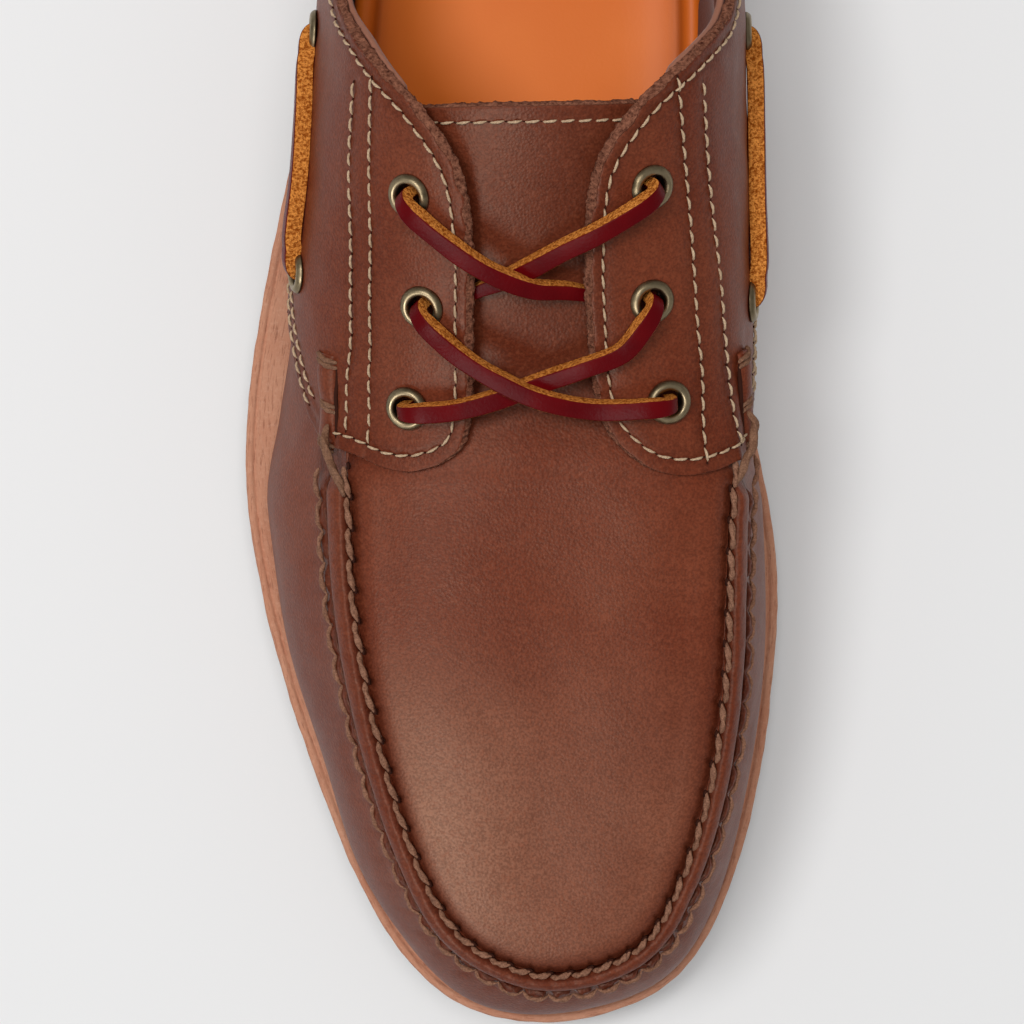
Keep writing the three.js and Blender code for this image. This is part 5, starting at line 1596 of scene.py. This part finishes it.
def make_hinges():
    """At each hinge the thick thread binds the facing's corner to the seam: turns of thread across a padded
    fold of leather that swells between them, and a thick cord that comes down over the facing's edge to the
    seam. A thin dark cord in the groove beside each fold is painted shadow."""
    wraps, folds, shades = [], [], []
    n_along, n_round = 90, 15
    for side, ((k0, v0), (k1, v1)) in HINGE_FOLDS.items():
        k, v = np.linspace(k0, k1, n_along), np.linspace(v0, v1, n_along)
        u = station(side, k)
        y = last(u, v)[..., 1]
        p, n = skin(u, v, quarter_off(y)), outward(u, v)
        forward = unit(np.gradient(p, axis=0))
        left = unit(np.cross(n, forward))
        share = np.linspace(0, 1, n_along)
        bound = np.exp(-((share[:, None] - np.array(BINDINGS)) / 0.05) ** 2).sum(1)
        swell = 1 - 0.5 * bound
        swell *= np.clip(np.sin(np.pi * np.clip(share, 0.02, 0.98)) * 3, 0, 1) ** 0.5
        a = np.linspace(-0.35, np.pi + 0.35, n_round)
        ring = p[:, None] + left[:, None] * (np.cos(a)[None] * (2.0 + 0.6 * swell[:, None]))[..., None] \
            + n[:, None] * (np.sin(a)[None] * (0.5 + 1.1 * swell[:, None]) - 0.1)[..., None]
        folds.append((ring.reshape(-1, 3), grid_faces(n_along, n_round, 0, True), caps(n_along, n_round)))
        plug = 1 if side == "outer" else -1
        # Painted shadow: a thin dark cord in the groove beside the fold.
        groove = (p + left * (plug * 2.75) - n * 0.12)[8:-12]
        shades.append(cord_along(groove, n[8:-12], 0.42, 0.12))
        for centre in BINDINGS:
            for turn in (-0.5, 0.5):
                i = int(np.clip((centre + turn * 0.055) * n_along, 1, n_along - 2))
                t = np.linspace(-1.25, 1.25, 30)
                along = 0.5 * t * plug + 0.12 * np.sin(3 * t)
                line = p[i] + left[i] * (t * 2.35)[:, None] + forward[i] * along[:, None] \
                    + n[i] * (1.15 * np.cos(t * 1.2) - 0.1)[:, None]
                wraps.append(cord_along(line, np.repeat(n[i][None], 30, 0), 0.5, 0.0, 3, 26, 12))
        end_k = np.linspace(7.86, 8.40, 40)
        end_v = np.interp(end_k, *EDGE_COURSE.T)
        cu = station(side, end_k)
        line, normal = skin(cu, end_v, np.interp(end_k, *EDGE_CORD.T)), outward(cu, end_v)
        wraps.append(cord_along(line, normal, 0.75, 0.0, 3, 40, 14))
    points, faces, ends = joined(folds)
    piece("hinge_folds", points, faces, oiled_leather(), (),
          {"raw": np.zeros(len(points)), "tone": np.full(len(points), 0.15)}, ends, merge=0.001)
    points, faces, ends = joined(wraps)
    cord = waxed_thread("waxed_hinge_thread", colours().hinge_cord, colours().cord_dark)
    piece("hinge_wraps", points, faces, cord, (), None, ends)
    points, faces, ends = joined(shades)
    piece("hinge_groove_shadows", points, faces, needle_dark(), (), None, ends)


# --------------------------------------------------------------------------------------------------- stage
CAMERA_LENS, CAMERA_SENSOR = 100.0, 36.0
CAMERA_PLACE = (0.0, -0.046, 0.5916)
FLOOR_HALF = 6.0                      # metres from the middle of the floor to its edges
SURROUND = 0.36                       # strength of the pale surround
LIT_POINT = Vector((0, 0, 0.03))      # where every light points
# Round area lights: name, place and width in metres, power in watts, seen in diffuse, seen in glossy.
LIGHTS = [
    ("key_light", (-0.46, 0.08, 1.3), 0.4, 7.4, True, True),
    ("top_light", (0.02, 0.12, 1.7), 0.8, 9.4, True, False),
    ("toe_sheen_light", (-0.52, -0.95, 0.96), 0.5, 12.0, False, True),
]


def make_stage():
    """Camera straight above the instep, a plain floor, a key light high on the outer side, a softer one
    overhead, one beyond the toe that only shows as sheen, and a pale surround."""
    scene = bpy.context.scene
    data = bpy.data.cameras.new("camera")
    data.lens, data.sensor_width = CAMERA_LENS, CAMERA_SENSOR
    data.clip_start, data.clip_end = 0.01, 50
    camera = bpy.data.objects.new("camera", data)
    camera.location = CAMERA_PLACE
    scene.collection.objects.link(camera)
    scene.camera = camera
    mesh = bpy.data.meshes.new("floor")
    corners = [(x * FLOOR_HALF, y * FLOOR_HALF, 0) for x, y in ((-1, -1), (1, -1), (1, 1), (-1, 1))]
    mesh.from_pydata(corners, [], [(0, 1, 2, 3)])
    floor = bpy.data.objects.new("floor", mesh)
    scene.collection.objects.link(floor)
    made, tree = fresh("matt_studio_paper")
    if tree is not None:
        finished(tree, {"Base Color": colours().floor, "Roughness": 0.95, "Specular IOR Level": 0.1})
    mesh.materials.append(made)
    for name, place, width, power, diffuse, glossy in LIGHTS:
        lamp = bpy.data.lights.new(name, "AREA")
        lamp.size, lamp.energy, lamp.shape = width, power, "DISK"
        lit = bpy.data.objects.new(name, lamp)
        lit.location = place
        lit.rotation_mode = "QUATERNION"
        lit.rotation_quaternion = (LIT_POINT - Vector(place)).to_track_quat("-Z", "Y")
        lit.visible_diffuse, lit.visible_glossy = diffuse, glossy
        scene.collection.objects.link(lit)
    world = bpy.data.worlds.new("studio")
    world.use_nodes = True
    backdrop = world.node_tree.nodes["Background"].inputs
    backdrop["Color"].default_value = (1, 1, 1, 1)
    backdrop["Strength"].default_value = SURROUND
    scene.world = world
    scene.view_settings.view_transform = "Standard"


# ----------------------------------------------------------------------------------------------- operators
class Step(bpy.types.Operator):
    """One step of the making"""
    bl_idname = "boat_shoe.step"
    bl_label = "Step"
    bl_options = {"REGISTER", "UNDO"}

    def execute(self, context):
        self.make()
        return {"FINISHED"}

    def make(self):
        """Overridden by each step."""


class SetStage(Step):
    """Put up the camera, floor and lights"""
    bl_idname = "boat_shoe.set_stage"
    bl_label = "Stage"

    def make(self):
        make_stage()


class MakeSole(Step):
    """Make the outsole and the sole strip"""
    bl_idname = "boat_shoe.make_sole"
    bl_label = "Sole"

    def make(self):
        make_outsole()
        make_strip()


class MakeFootbed(Step):
    """Make the padded footbed"""
    bl_idname = "boat_shoe.make_footbed"
    bl_label = "Footbed"

    def make(self):
        make_footbed()


class MakeVamp(Step):
    """Make the gathered wall, the seam roll, and the apron with its tongue"""
    bl_idname = "boat_shoe.make_vamp"
    bl_label = "Vamp and apron"

    def make(self):
        make_vamp()
        make_seam_roll()
        make_apron()


class MakeQuarters(Step):
    """Make the quarters, the heel counter and the lining"""
    bl_idname = "boat_shoe.make_quarters"
    bl_label = "Quarters"

    def make(self):
        rows = fine_rows()
        for side in SIDES:
            make_quarter(side, rows)
        make_counter(rows)
        make_lining()
        make_fine_threads(rows)


class MakeEyelets(Step):
    """Make the ten brass eyelets"""
    bl_idname = "boat_shoe.make_eyelets"
    bl_label = "Eyelets"

    def make(self):
        make_eyelets()


class MakeLaces(Step):
    """Make the lace crossings and the side laces"""
    bl_idname = "boat_shoe.make_laces"
    bl_label = "Laces"

    def make(self):
        make_laces()


class MakeSeamThreads(Step):
    """Make the apron seam's thread and the wraps at its hinges"""
    bl_idname = "boat_shoe.make_seam_threads"
    bl_label = "Seam threads"

    def make(self):
        make_seam_threads()
        make_hinges()


STEPS = (SetStage, MakeSole, MakeFootbed, MakeVamp, MakeQuarters, MakeEyelets, MakeLaces, MakeSeamThreads)


class ShoePanel(bpy.types.Panel):
    """Lists the steps, sizes and colours in the sidebar"""
    bl_idname = "VIEW3D_PT_boat_shoe"
    bl_label = "Boat shoe"
    bl_space_type = "VIEW_3D"
    bl_region_type = "UI"
    bl_category = "Boat shoe"

    def draw(self, context):
        for step in STEPS:
            self.layout.operator(step.bl_idname)
        for group in (context.scene.boat_shoe_sizes, context.scene.boat_shoe_colours):
            for name in group.__annotations__:
                self.layout.prop(group, name)


CLASSES = (ShoeColours, ShoeSizes, *STEPS, ShoePanel)


def register():
    """Registers the classes and the two property groups."""
    for c in CLASSES:
        bpy.utils.register_class(c)
    bpy.types.Scene.boat_shoe_sizes = bpy.props.PointerProperty(type=ShoeSizes)
    bpy.types.Scene.boat_shoe_colours = bpy.props.PointerProperty(type=ShoeColours)


def unregister():
    """Removes what register added."""
    del bpy.types.Scene.boat_shoe_colours
    del bpy.types.Scene.boat_shoe_sizes
    for c in reversed(CLASSES):
        bpy.utils.unregister_class(c)


def main():
    """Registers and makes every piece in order."""
    register()
    for step in STEPS:
        group, name = step.bl_idname.split(".")
        getattr(getattr(bpy.ops, group), name)()


if __name__ == "__main__":
    main()
